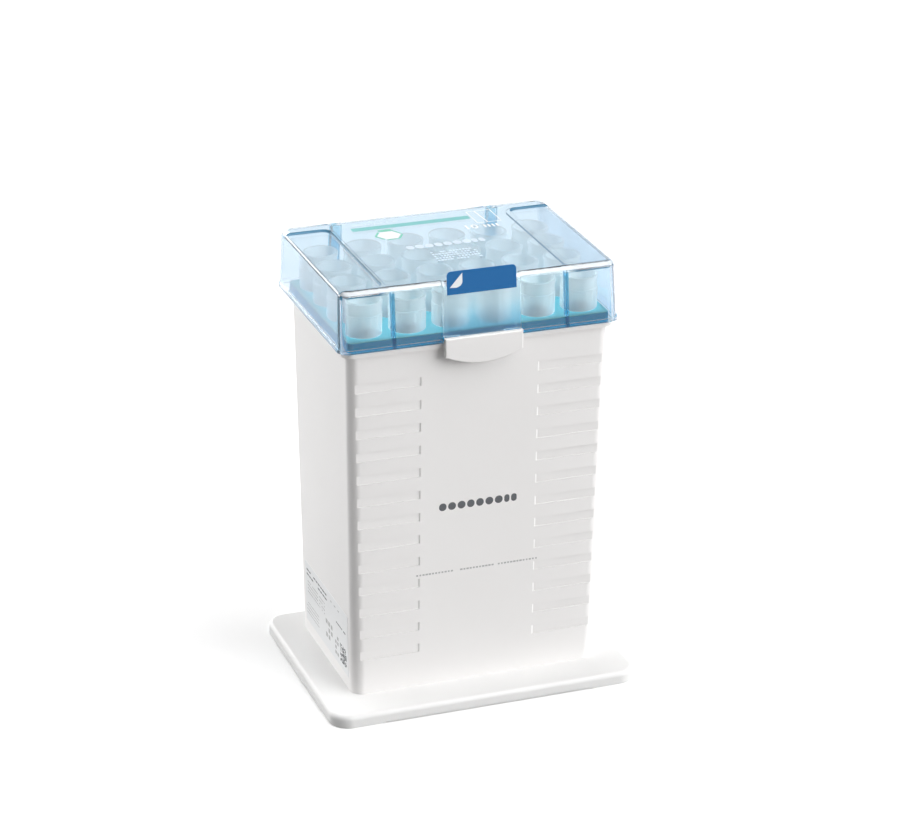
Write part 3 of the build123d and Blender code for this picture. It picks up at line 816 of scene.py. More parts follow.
def plate_mesh(outlines: Iterable[Outline], thickness: float) -> Mesh:
    """Make thin flat plates from outlines in the XY plane.

    Args:
        outlines: Corner points of each plate, counter-clockwise, in millimetres.
        thickness: Thickness, in millimetres, from -half to +half in Z.

    Returns:
        A closed mesh, in metres.
    """
    shape = bmesh.new()
    for outline in outlines:
        low, high = (
            [shape.verts.new((x * MM, y * MM, side * thickness / 2 * MM)) for x, y in outline]
            for side in (-1, 1)
        )
        shape.faces.new(list(reversed(low)))
        shape.faces.new(high)
        for i in range(len(outline)):
            j = (i + 1) % len(outline)
            shape.faces.new((low[i], low[j], high[j], high[i]))
    return plain_mesh(shape, "plates")


def hoop_mesh(rows: Sequence[Sequence[tuple[float, float, float]]]) -> Mesh:
    """Make a closed hoop: each row of points is a loop, joined to the next row, and the last to the first.

    Args:
        rows: Points of each loop, in millimetres, as many in each.

    Returns:
        A closed mesh, in metres.
    """
    shape = bmesh.new()
    loops = [[shape.verts.new(Vector(point) * MM) for point in row] for row in rows]
    for here, there in zip(loops, loops[1:] + loops[:1]):
        for i in range(len(here)):
            j = (i + 1) % len(here)
            shape.faces.new((here[i], here[j], there[j], there[i]))
    return plain_mesh(shape, "hoop")


def frame_mesh(outer: Outline, inner: Outline, thickness: float) -> Mesh:
    """Make a thin flat frame between two outlines with the same number of corners, in millimetres."""
    levels = ((outer, 1), (inner, 1), (inner, -1), (outer, -1))
    return hoop_mesh([[(x, y, side * thickness / 2) for x, y in outline] for outline, side in levels])


def lathe_mesh(profile: Outline, segments: int) -> Mesh:
    """Turn a closed outline about the Z axis.

    Args:
        profile: (radius, height) points in millimetres, up the outside and down the inside.
        segments: Number of steps round the axis.

    Returns:
        The mesh, in metres.
    """
    angles = [2 * math.pi * step / segments for step in range(segments)]
    hoops = [[(r * math.cos(angle), r * math.sin(angle), z) for angle in angles] for r, z in profile]
    return hoop_mesh(hoops)


def rounded_outline(
    width: float, height: float, radius: float, centre: Flat = (0.0, 0.0), steps: int = 8
) -> list[Flat]:
    """Corner points of a rounded rectangle, counter-clockwise.

    Args:
        width: Width.
        height: Height.
        radius: Corner radius.
        centre: Middle of the rectangle.
        steps: Points in each corner, less one.

    Returns:
        The points.
    """
    points = []
    for quarter, (side_x, side_y) in enumerate(((1, 1), (-1, 1), (-1, -1), (1, -1))):
        middle_x = centre[0] + side_x * (width / 2 - radius)
        middle_y = centre[1] + side_y * (height / 2 - radius)
        for step in range(steps + 1):
            angle = math.pi / 2 * (quarter + step / steps)
            points.append((middle_x + radius * math.cos(angle), middle_y + radius * math.sin(angle)))
    return points


def bar_row(widths: Sequence[float], gap: float, height: float) -> list[list[Flat]]:
    """Outlines of a row of rounded bars, centred on the origin.

    Args:
        widths: Width of each bar, from the left.
        gap: Space between bars.
        height: Height of the bars.

    Returns:
        One outline per bar.
    """
    left = -(sum(widths) + gap * (len(widths) - 1)) / 2
    outlines = []
    for width in widths:
        radius = min(width, height) / 2 - BAR_END_FLAT
        outlines.append(rounded_outline(width, height, radius, (left + width / 2, 0.0), 5))
        left += width + gap
    return outlines


# ------------------------------------------------------------------ growing trees


def grown_mesh(tree: NodeTree, values: dict[str, object]) -> Mesh:
    """Run a geometry tree and keep its result as a plain mesh.

    Args:
        tree: Geometry tree that ends in realised instances and a material.
        values: Value of each named input.

    Returns:
        The plain mesh.
    """
    host = add_object(tree.name, bpy.data.meshes.new(tree.name))
    grow = host.modifiers.new("grow", "NODES")
    grow.node_group = tree
    for item in tree.interface.items_tree:
        if item.item_type == "SOCKET" and item.in_out == "INPUT" and item.name in values:
            grow[item.identifier] = values[item.name]
    host.update_tag()
    return final_mesh(host)


class GrowingTree(Group):
    """A geometry tree that repeats a piece and gives it a finish."""

    def __init__(self, name: str, inputs: dict[str, object]) -> None:
        """Start the tree with its named inputs and the finish."""
        super().__init__(name, GroupKind.SHAPE, {**inputs, "Finish": "NodeSocketMaterial"}, ("Geometry",))

    def grid(self, step_x: str, step_y: str) -> NodeSocket:
        """Add a flat grid of points, with as many as the inputs Columns and Rows say.

        Args:
            step_x: Name of the input for the step between columns.
            step_y: Name of the input for the step between rows.

        Returns:
            The points, centred on the origin.
        """
        feeds = {}
        for axis, count, step in (("X", "Columns", step_x), ("Y", "Rows", step_y)):
            steps = self.maths("SUBTRACT", self.given[count], 1.0)
            feeds[f"Size {axis}"] = self.product(steps, self.given[step])
            feeds[f"Vertices {axis}"] = self.given[count]
        return self.add("GeometryNodeMeshGrid", feeds).outputs["Mesh"]

    def moved(self, shape: NodeSocket, move: NodeSocket) -> NodeSocket:
        """Move a shape by a vector."""
        return self.add("GeometryNodeTransform", {"Geometry": shape, "Translation": move}).outputs["Geometry"]

    def block(self, x: NodeSocket, y: NodeSocket, z: NodeSocket) -> NodeSocket:
        """Add a block of some size."""
        return self.add("GeometryNodeMeshCube", {"Size": self.vector(x, y, z)}).outputs["Mesh"]

    def random(self, low: object, high: object, seed: NodeSocket) -> NodeSocket:
        """Draw a number between two limits for each point."""
        feeds = {2: low, 3: high, "Seed": seed}
        return self.add("FunctionNodeRandomValue", feeds, data_type="FLOAT").outputs[1]

    def spread(self, points: NodeSocket, piece: NodeSocket, **feeds: NodeSocket) -> NodeTree:
        """Put a piece on every point, real and with its finish, as the tree's result.

        Args:
            points: Where the pieces go.
            piece: The piece.
            feeds: Rotation, scale or selection for each point.

        Returns:
            The finished tree.
        """
        spread = self.add("GeometryNodeInstanceOnPoints", {"Points": points, "Instance": piece, **feeds})
        real = self.add("GeometryNodeRealizeInstances", {"Geometry": spread.outputs["Instances"]})
        finish = {"Geometry": real.outputs["Geometry"], "Material": self.given["Finish"]}
        dressed = self.add("GeometryNodeSetMaterial", finish)
        return self.put_out(Geometry=dressed.outputs["Geometry"])


def field_tree() -> NodeTree:
    """Build the geometry tree that repeats one piece on a flat grid, each turned by chance.

    Returns:
        A tree with inputs Piece, Columns, Rows, Pitch, Middle, Turn, Seed and Finish.
    """
    inputs = {"Columns": 6, "Rows": 4, "Pitch": 0.02, "Middle": (0.0, 0.0, 0.0), "Turn": 0.0, "Seed": 3}
    tree = GrowingTree("field_of_pieces", {"Piece": "NodeSocketObject", **inputs})
    points = tree.moved(tree.grid("Pitch", "Pitch"), tree.given["Middle"])
    piece = tree.add("GeometryNodeObjectInfo", {"Object": tree.given["Piece"]}).outputs["Geometry"]
    turn = tree.random(0.0, tree.given["Turn"], tree.given["Seed"])
    return tree.spread(points, piece, Rotation=tree.vector(z=turn))


def collar_rib_tree() -> NodeTree:
    """Build the geometry tree for the short upright ribs round a tip's collar.

    Returns:
        A tree with inputs Count, Radius, Width, Height, Proud, Level and Finish.
    """
    inputs = {"Count": 16, "Radius": 0.008, "Width": 0.0006, "Height": 0.002, "Proud": 0.0001, "Level": 0.15}
    tree = GrowingTree("collar_ribs", inputs)
    count, radius = tree.given["Count"], tree.given["Radius"]
    circle = tree.add("GeometryNodeMeshCircle", {"Vertices": count, "Radius": radius}, fill_type="NONE")
    points = tree.moved(circle.outputs["Mesh"], tree.vector(z=tree.given["Level"]))
    rib = tree.block(tree.product(tree.given["Proud"], 2.0), tree.given["Width"], tree.given["Height"])
    share = tree.maths("DIVIDE", tree.add("GeometryNodeInputIndex").outputs[0], count)
    return tree.spread(points, rib, Rotation=tree.vector(z=tree.product(share, 2 * math.pi)))


def print_block_tree() -> NodeTree:
    """Build the geometry tree for small flat printed marks on a grid about the origin, some left out.

    Returns:
        A tree with inputs Columns, Rows, Step X, Step Y, Mark X, Mark Y, Thickness, Keep, Spread,
        Seed and Finish.
    """
    sizes = {"Step X": 0.001, "Step Y": 0.001, "Mark X": 0.0008, "Mark Y": 0.0004, "Thickness": 0.00002}
    inputs = {"Columns": 10, "Rows": 4, **sizes, "Keep": 0.8, "Spread": 0.3, "Seed": 1}
    tree = GrowingTree("print_block", inputs)
    given = tree.given
    chance = {"Probability": given["Keep"], "Seed": given["Seed"]}
    keep = tree.add("FunctionNodeRandomValue", chance, data_type="BOOLEAN").outputs[3]
    short, long = tree.maths("SUBTRACT", 1.0, given["Spread"]), tree.maths("ADD", given["Spread"], 1.0)
    length = tree.random(short, long, tree.maths("ADD", given["Seed"], 7.0))
    mark = tree.block(given["Mark X"], given["Mark Y"], given["Thickness"])
    points = tree.grid("Step X", "Step Y")
    return tree.spread(points, mark, Selection=keep, Scale=tree.vector(length, 1.0, 1.0))


class Workshop:
    """What every part of the box is made with: the finishes and the geometry trees, each built once."""

    def __init__(self) -> None:
        """Build them."""
        self.finishes = Finishes()
        self.field = field_tree()
        self.ribs = collar_rib_tree()
        self.print_block = print_block_tree()


@dataclass(frozen=True)
class PrintBlock:
    """A block of small printed marks in columns and rows, with its sizes in millimetres."""

    name: str
    middle: Flat
    count: tuple[int, int]
    step: Flat
    mark: Flat
    keep: float
    spread: float
    seed: int
    ink: Ink

    def make(self, shop: Workshop, thickness: float, body: Body, slot: Slot, at: Matrix) -> None:
        """Print the block.

        Args:
            shop: Finishes and geometry trees.
            thickness: Thickness of the ink, in millimetres.
            body: Body that carries the print.
            slot: Material slot of what is printed on; not used.
            at: Place of the block's middle, with the print in its XY plane.
        """
        ink = shop.finishes.inks[self.ink]
        values: dict[str, object] = {
            "Columns": self.count[0],
            "Rows": self.count[1],
            "Step X": self.step[0] * MM,
            "Step Y": self.step[1] * MM,
            "Mark X": self.mark[0] * MM,
            "Mark Y": self.mark[1] * MM,
            "Thickness": thickness * MM,
            "Keep": self.keep,
            "Spread": self.spread,
            "Seed": self.seed,
            "Finish": ink,
        }
        place_mesh(self.name, grown_mesh(shop.print_block, values), ink, body, at)


# ------------------------------------------------------------------ sub-assemblies


@dataclass
class BasePlate:
    """The wide plate that the rack stands on."""

    edge_round: float = 0.25

    def make(self, shop: Workshop) -> None:
        """Dress the plate.

        Args:
            shop: Finishes and geometry trees.
        """
        shell, finish = joined_copy("base_plate", flat_degrees=0.3), shop.finishes.plate
        edge = self.edge_round
        dress_node("base_plate", shell, "plate_shell", finish, Body.RACK, edge_round=edge)


@dataclass
class RackBody:
    """The tapered body with its printed fields on the front wall."""

    edge_round: float = 0.06
    plate_top: float = 5.6
    height: float = 162.4
    offset_y: float = 2.8
    bottom_depth: float = 75.2
    top_depth: float = 81.2
    ledge_top: float = 160.0
    upward: float = 0.7
    print_thickness: float = 0.03
    bars_middle_z: float = 90.9
    bar_height: float = 3.6
    line: PrintBlock = PrintBlock(
        "front_print_line", (0.0, 59.7), (39, 1), (1.45, 1.0), (0.95, 0.75), 0.88, 0.3, 11, Ink.PALE
    )

    def wall_place(self, x: float, z: float) -> Matrix:
        """Place of a flat print on the sloping front wall.

        Args:
            x: Middle of the print.
            z: Height of its middle.

        Returns:
            Matrix that turns XY prints onto the wall, facing outwards.
        """
        slope = (self.top_depth - self.bottom_depth) / 2 / self.height
        y = self.offset_y - self.bottom_depth / 2 - slope * (z - self.plate_top)
        return shift(x, y, z) @ turned(90.0 + math.degrees(math.atan(slope)), "X")

    def is_ledge(self, at: Vector, out: Vector) -> bool:
        """The upward faces below the rim, such as the floors of the front pockets, which are given a darker
        grey as painted shade.
        """
        return out.z > self.upward and at.z < self.ledge_top

    def make(self, shop: Workshop) -> None:
        """Dress the body and print its front.

        Args:
            shop: Finishes and geometry trees.
        """
        finishes = shop.finishes
        # The upward faces get the darker grey of painted shade.
        shell, faces = joined_copy("rack_body", 14.0, flat_degrees=0.3), ((finishes.ledge_painted_shade, self.is_ledge),)
        slot = Slot.GREY_WHITE
        dress_node("rack_body", shell, "rack_shell", finishes.rack, Body.RACK, faces, self.edge_round)
        bars = plate_mesh(bar_row(NAME_BARS, NAME_BAR_GAP, self.bar_height), self.print_thickness)
        place = self.wall_place(0.0, self.bars_middle_z)
        place_mesh("front_print_bars", bars, finishes.inks[Ink.DARK], Body.RACK, place)
        self.line.make(shop, self.print_thickness, Body.RACK, slot, self.wall_place(*self.line.middle))


@dataclass
class TipTray:
    """The coloured tray that carries the tips."""

    edge_round: float = 0.15
    upward: float = 0.7

    def is_top(self, at: Vector, out: Vector) -> bool:
        """The upward faces, which are given a paler blue as painted light."""
        return out.z > self.upward

    def make(self, shop: Workshop) -> None:
        """Dress the tray.

        Args:
            shop: Finishes and geometry trees.
        """
        finishes, shell = shop.finishes, joined_copy("tip_tray", flat_degrees=0.3)
        # The upward faces get the paler blue of painted light.
        faces = ((finishes.tray_top, self.is_top),)
        edge = self.edge_round
        dress_node("tip_tray", shell, "tray_shell", finishes.tray, Body.RACK, faces, edge)


@dataclass
class TipSet:
    """The tips that hang in the tray."""

    columns: int = 6
    rows: int = 4
    pitch: float = 19.4
    offset_y: float = 2.8
    bottom_z: float = 22.3
    length: float = 165.0
    collar_height: float = 15.1
    collar_radius: float = 8.0
    neck_radius: float = 7.75
    rim_radius: float = 8.1
    rim_height: float = 1.7
    neck_height: float = 4.1
    socket_radius: float = 6.9
    socket_length: float = 7.0
    shoulder_radius: float = 7.0
    middle_radius: float = 5.9
    middle_height: float = 100.0
    nose_radius: float = 3.3
    nose_height: float = 34.0
    end_radius: float = 1.5
    bore_radius: float = 0.8
    wall: float = 0.8
    edge_round: float = 0.25
    sharp_degrees: float = 35.0
    segments: int = 48
    rib_count: int = 16
    rib_width: float = 0.7
    rib_height: float = 4.5
    rib_proud: float = 0.09
    rib_gap: float = 0.4
    turn_seed: int = 5

    def outline(self) -> list[Flat]:
        """Section of the tip's wall, up the outside and down the inside.

        Returns:
            (radius, height) points in millimetres.
        """
        top = self.length
        shoulder = top - self.collar_height
        rim = top - self.rim_height
        neck = rim - self.neck_height
        r = self.edge_round
        return [
            (self.bore_radius, 0.0),
            (self.end_radius, 0.0),
            (self.nose_radius, self.nose_height),
            (self.middle_radius, self.middle_height),
            (self.shoulder_radius, shoulder),
            (self.collar_radius - r, shoulder),
            (self.collar_radius, shoulder + r),
            (self.collar_radius, neck),
            (self.neck_radius, neck + (self.collar_radius - self.neck_radius)),
            (self.neck_radius, rim),
            (self.rim_radius - r / 3, rim),
            (self.rim_radius, rim + r / 3),
            (self.rim_radius, top - r),
            (self.rim_radius - r, top),
            (self.socket_radius + r, top),
            (self.socket_radius, top - r),
            (self.socket_radius, top - self.socket_length),
            (self.shoulder_radius - self.wall, shoulder - self.wall),
            (self.middle_radius - self.wall, self.middle_height),
            (self.nose_radius - self.wall, self.nose_height),
        ]

    def tip_mesh(self, shop: Workshop) -> Mesh:
        """Make one tip with the ribs round its collar, its end at the origin.

        Args:
            shop: Finishes and geometry trees.

        Returns:
            The mesh, in metres.
        """
        tip = lathe_mesh(self.outline(), self.segments)
        neck = self.length - self.rim_height - self.neck_height
        ribs = grown_mesh(shop.ribs, {
            "Count": self.rib_count,
            "Radius": self.collar_radius * MM,
            "Width": self.rib_width * MM,
            "Height": self.rib_height * MM,
            "Proud": self.rib_proud * MM,
            "Level": (neck - self.rib_gap - self.rib_height / 2) * MM,
            "Finish": shop.finishes.tip,
        })
        shape = bmesh.new()
        shape.from_mesh(tip)
        shape.from_mesh(ribs)
        mesh = plain_mesh(shape, "tip")
        mark_sharp(mesh, self.sharp_degrees)
        return mesh

    def make(self, shop: Workshop) -> None:
        """Make all the tips in one piece.

        Args:
            shop: Finishes and geometry trees.
        """
        pattern = add_object("tip_pattern", self.tip_mesh(shop))
        tips = grown_mesh(shop.field, {
            "Piece": pattern,
            "Columns": self.columns,
            "Rows": self.rows,
            "Pitch": self.pitch * MM,
            "Middle": (0.0, self.offset_y * MM, self.bottom_z * MM),
            "Turn": 2 * math.pi,
            "Seed": self.turn_seed,
            "Finish": shop.finishes.tip,
        })
        bpy.data.objects.remove(pattern)
        piece = place_mesh("tips", tips, shop.finishes.tip, Body.RACK)
        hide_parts(*[f"tip_{number:02d}" for number in range(1, self.columns * self.rows + 1)])


@dataclass
class Lid:
    """The clear hinged lid and the prints on its top, placed by their middles."""

    top_z: float = 194.5
    wall: float = 1.7
    edge_low: float = 192.9
    edge_high: float = 194.25
    edge_front: float = -34.5
    side_x: float = 59.3
    corner_turn: float = 1.34
    level_turn: float = 0.93
    panel_x: float = 41.6
    panel_round: float = 4.0
    panel_front: float = -33.7
    panel_back: float = 41.7
    panel_floor: float = 193.2
    panel_low: float = 1.9
    panel_high: float = 0.4
    step_inward: float = 0.95
    step_outward: float = 0.3
    step_flat: float = 0.99
    print_thickness: float = 0.03
    stripe: tuple[float, float, float] = (54.5, 4.0, 0.4)
    stripe_at: Flat = (-5.7, 36.0)
    card: tuple[float, float, float] = (11.4, 15.7, 0.5)
    card_inside: tuple[float, float, float] = (10.6, 14.9, 0.3)
    card_at: Flat = (28.0, 35.2)
    divider: Outline = ((-0.3, -7.4), (0.3, -7.4), (-0.6, 7.4), (-1.2, 7.4))
    divider_at: Flat = (27.2, 35.2)
    number_height: float = 7.0
    number_stroke: float = 0.1
    number_at: Flat = (17.8, 23.3)
    unit_bars: tuple[float, ...] = (1.0, 1.0, 1.0, 1.0)
    unit_gap: float = 0.9
    unit_height: float = 3.4
    unit_at: Flat = (27.0, 22.9)
    bar_height: float = 4.6
    bars_at: Flat = (0.2, 7.0)
    hexagon_at: Flat = (-19.4, 25.0)
    hexagon_radius: float = 6.6
    hexagon_inner: float = 5.7
    hexagon_fill: float = 5.3
    hexagon_gap: float = 0.12
    cap: tuple[float, float, float] = (6.0, 1.5, 0.2)
    cap_at: Flat = (-19.4, 31.6)
    blocks: tuple[PrintBlock, ...] = (
        PrintBlock("top_print_rows", (0.0, -6.9), (14, 5), (1.45, 2.5), (1.0, 1.3), 0.8, 0.3, 21, Ink.FAINT),
        PrintBlock(
            "top_print_caption", (-20.5, 41.2), (15, 1), (1.45, 2.5), (1.0, 1.3), 0.8, 0.3, 22, Ink.FAINT
        ),
    )

    def is_side(self, at: Vector, out: Vector) -> bool:
        """The top and the two end walls, which are a little cloudy."""
        return at.z > self.edge_low or abs(at.x) > self.side_x

    def is_corner(self, at: Vector, out: Vector) -> bool:
        """The strip down each front corner, paler as a painted highlight."""
        return abs(out.x) - out.y > self.corner_turn and at.y < 0.0 and at.z < self.edge_low

    def is_edge(self, at: Vector, out: Vector) -> bool:
        """The round along the front and end edges of the top, whitened as a painted highlight."""
        rim = at.y < self.edge_front or abs(at.x) > self.side_x
        return rim and self.edge_low < at.z < self.edge_high and out.z < self.level_turn

    def is_step(self, at: Vector, out: Vector) -> bool:
        """The upright steps round the raised end panels, outside and inside, which are given a dark blue as
        painted shade.

        Args:
            at: Middle of the face, in millimetres.
            out: Outward direction of the face.

        Returns:
            Whether the face is part of a step.
        """
        middle, half = (self.panel_front + self.panel_back) / 2, (self.panel_back - self.panel_front) / 2
        beyond_x = max(self.panel_x + self.panel_round - abs(at.x), 0.0)
        beyond_y = max(abs(at.y - middle) - half + self.panel_round, 0.0)
        away = math.hypot(beyond_x, beyond_y) - self.panel_round
        outside = at.z > self.panel_floor and -self.step_inward < away < self.step_outward
        level = self.panel_floor - self.panel_low < at.z < self.panel_floor - self.panel_high
        inside = level and -self.step_inward < away - self.wall < self.step_outward
        return abs(out.z) < self.step_flat and (outside or inside)

    def top_place(self, x: float, y: float) -> Matrix:
        """Place of a flat print on the lid's top."""
        return shift(x, y, self.top_z + self.print_thickness / 2 + PRINT_GAP)

    def number_mesh(self, text: str) -> Mesh:
        """Make plain numerals as a thin flat mesh about the origin.

        Args:
            text: The numerals.

        Returns:
            The mesh, in metres.
        """
        curve = bpy.data.curves.new("numerals", "FONT")
        curve.body = text
        curve.size = self.number_height * MM
        curve.align_x = "CENTER"
        curve.align_y = "CENTER"
        curve.offset = self.number_stroke * MM
        curve.extrude = self.print_thickness / 2 * MM
        return final_mesh(add_object("numerals", curve))

    def hexagon_corner(self, size: float, step: int) -> Flat:
        """Corner of a hexagon of a given size."""
        return (size * cosine(60 * step), size * sine(60 * step))

    def hexagon_edges(self) -> list[list[Flat]]:
        """Outlines of the hexagon's broken edge: three bent strips with gaps between them.

        Returns:
            Two outlines for each strip.
        """
        strips = []
        scale = self.hexagon_inner / self.hexagon_radius
        for step in (0, 2, 4):
            points = (self.hexagon_corner(self.hexagon_radius, step + k) for k in (0, 1, 2))
            first, middle, last = map(Vector, points)
            low, high = first.lerp(middle, self.hexagon_gap), middle.lerp(last, 1.0 - self.hexagon_gap)
            strips.append([tuple(low), tuple(middle), tuple(middle * scale), tuple(low * scale)])
            strips.append([tuple(middle), tuple(high), tuple(high * scale), tuple(middle * scale)])
        return strips

    def make(self, shop: Workshop) -> None:
        """Dress the lid and print its top.

        Args:
            shop: Finishes and geometry trees.
        """
        finishes, thickness = shop.finishes, self.print_thickness
        # The edge and corner finishes are painted highlights, and the step finish is painted shade.
        faces = (
            (finishes.lid_sides, self.is_side),
            (finishes.lid_corner, self.is_corner),
            (finishes.lid_edge, self.is_edge),
            (finishes.lid_step, self.is_step),
        )
        shell = joined_copy("lid", cuts=(self.edge_low,))
        dress_node("lid", shell, "lid_shell", finishes.lid, Body.LID, faces)
        card, inside = (rounded_outline(*size, steps=2) for size in (self.card, self.card_inside))
        fill = [self.hexagon_corner(self.hexagon_fill, step) for step in range(6)]
        unit = bar_row(self.unit_bars, self.unit_gap, self.unit_height)
        name = bar_row(NAME_BARS, NAME_BAR_GAP, self.bar_height)
        for label, mesh, at, ink in (
            ("stripe", plate_mesh([rounded_outline(*self.stripe)], thickness), self.stripe_at, Ink.TURQUOISE),
            ("hexagon_edge", plate_mesh(self.hexagon_edges(), thickness), self.hexagon_at, Ink.GREEN),
            ("hexagon", plate_mesh([fill], thickness), self.hexagon_at, Ink.WHITE),
            ("hexagon_cap", plate_mesh([rounded_outline(*self.cap)], thickness), self.cap_at, Ink.GREEN),
            ("frame", frame_mesh(card, inside, thickness), self.card_at, Ink.WHITE),
            ("divider", plate_mesh([self.divider], thickness), self.divider_at, Ink.WHITE),
            ("number", self.number_mesh("10"), self.number_at, Ink.WHITE),
            ("unit", plate_mesh(unit, thickness), self.unit_at, Ink.WHITE),
            ("bars", plate_mesh(name, thickness), self.bars_at, Ink.FAINT),
        ):
            place = self.top_place(*at)
            place_mesh(f"top_print_{label}", mesh, finishes.inks[ink], Body.LID, place)
        for block in self.blocks:
            block.make(shop, thickness, Body.LID, Slot.CLEAR, self.top_place(*block.middle))


@dataclass
class SealLabel:
    """The blue label on the latch panel, with the turned-up corner printed on it."""

    width: float = 31.0
    height: float = 10.1
    thickness: float = 0.15
    middle_y: float = -38.15
    middle_z: float = 193.95
    lean: float = 5.86
    print_thickness: float = 0.03
    corner_start: Flat = (1.2, 3.1)
    curl: tuple[Flat, Flat, Flat] = ((4.1, 2.9), (6.9, 3.4), (6.9, 5.6))
    corner_end: Flat = (6.9, 9.1)
    curl_steps: int = 8

    def face_place(self) -> Matrix:
        """Place of a flat print on the label's face, about the label's middle."""
        lift = shift(0.0, 0.0, self.thickness + self.print_thickness / 2 + PRINT_GAP)
        return shift(0.0, self.middle_y, self.middle_z) @ turned(90.0 - self.lean, "X") @ lift

    def corner_outline(self) -> list[Flat]:
        """Outline of the turned-up corner: two straight sides and a curled one.

        Returns:
            Corner points about the label's middle, counter-clockwise, in millimetres.
        """
        left, low = -self.width / 2, -self.height / 2
        start, bend, end = (Vector(point) for point in self.curl)
        points = [self.corner_start]
        for step in range(self.curl_steps + 1):
            share = step / self.curl_steps
            points.append(tuple(start.lerp(bend, share).lerp(bend.lerp(end, share), share)))
        points.append(self.corner_end)
        return [(left + x, low + y) for x, y in points]

    def make(self, shop: Workshop) -> None:
        """Dress the label and print its corner.

        Args:
            shop: Finishes and geometry trees.
        """
        film = joined_copy("seal_label")
        dress_node("seal_label", film, "seal_film", shop.finishes.seal, Body.LID)
        corner = plate_mesh([self.corner_outline()], self.print_thickness)
        ink = shop.finishes.inks[Ink.WHITE]
        place_mesh("seal_print_corner", corner, ink, Body.LID, self.face_place())


@dataclass
class SideLabel:
    """The label on the left wall, with plain printed bars and a block of squares."""

    thickness: float = 0.12
    print_thickness: float = 0.02
    bottom_half_width: float = 56.5
    top_half_width: float = 58.9
    wall_bottom: float = 5.6
    wall_height: float = 162.4
    blocks: tuple[PrintBlock, ...] = (
        PrintBlock(
            "side_print_title", (16.0, 36.6), (9, 2), (3.3, 2.2), (2.6, 0.8), 0.85, 0.25, 31, Ink.DARK
        ),
        PrintBlock(
            "side_print_heading", (-9.0, 37.8), (6, 1), (2.6, 1.0), (1.8, 0.6), 0.8, 0.3, 32, Ink.PALE
        ),
        PrintBlock("side_print_text", (17.0, 29.6), (15, 4), (1.7, 1.7), (1.2, 0.5), 0.85, 0.3, 33, Ink.PALE),
        PrintBlock(
            "side_print_notes", (22.5, 18.6), (10, 4), (1.8, 1.7), (1.5, 0.35), 0.95, 0.15, 34, Ink.PALE
        ),
        PrintBlock(
            "side_print_side_line", (-18.5, 31.2), (9, 1), (1.5, 1.0), (1.1, 0.7), 0.9, 0.2, 35, Ink.DARK
        ),
        PrintBlock("side_print_signs", (-1.5, 21.5), (3, 3), (3.6, 3.3), (2.4, 2.1), 0.8, 0.12, 36, Ink.PALE),
        PrintBlock(
            "side_print_signs_front", (-12.4, 19.6), (2, 4), (2.9, 2.6), (1.9, 1.6), 0.85, 0.15, 37, Ink.PALE
        ),
        PrintBlock(
            "side_print_squares", (-21.6, 19.0), (13, 13), (0.68, 0.68), (0.66, 0.66), 0.56, 0.02, 38, Ink.DARK
        ),
    )

    def wall_place(self, y: float, z: float) -> Matrix:
        """Place of a flat print on the label, its first axis running forwards.

        Args:
            y: Middle along Y.
            z: Height of the middle.

        Returns:
            Matrix that turns XY prints onto the label, facing outwards.
        """
        slope = (self.top_half_width - self.bottom_half_width) / self.wall_height
        x = -(self.bottom_half_width + slope * (z - self.wall_bottom))
        up = Vector((-slope, 0.0, 1.0)).normalized()
        along = Vector((0.0, -1.0, 0.0))
        turn = Matrix((along, up, along.cross(up))).transposed().to_4x4()
        return shift(x, y, z) @ turn @ shift(0.0, 0.0, self.thickness + self.print_thickness / 2 + PRINT_GAP)

    def make(self, shop: Workshop) -> None:
        """Dress the label and print it.

        Args:
            shop: Finishes and geometry trees.
        """
        film = joined_copy("side_label")
        dress_node("side_label", film, "side_film", shop.finishes.label, Body.RACK)
        for block in self.blocks:
            block.make(shop, self.print_thickness, Body.RACK, Slot.LABEL, self.wall_place(*block.middle))


# ------------------------------------------------------------------ studio


@dataclass(frozen=True)
class LightPanel:
    """A soft bright field of the sky, upright like a studio panel.

    Azimuths are in degrees from the front, towards the right; elevations from the floor's level.
    """

    azimuth: float
    half_width: float
    low: float
    high: float
    strength: float
    soft: float = 12.0


@dataclass(frozen=True)
class LightDisc:
    """A round soft box by its direction, its radius, its soft edge and its strength."""

    azimuth: float
    elevation: float
    radius: float
    soft: float
    strength: float


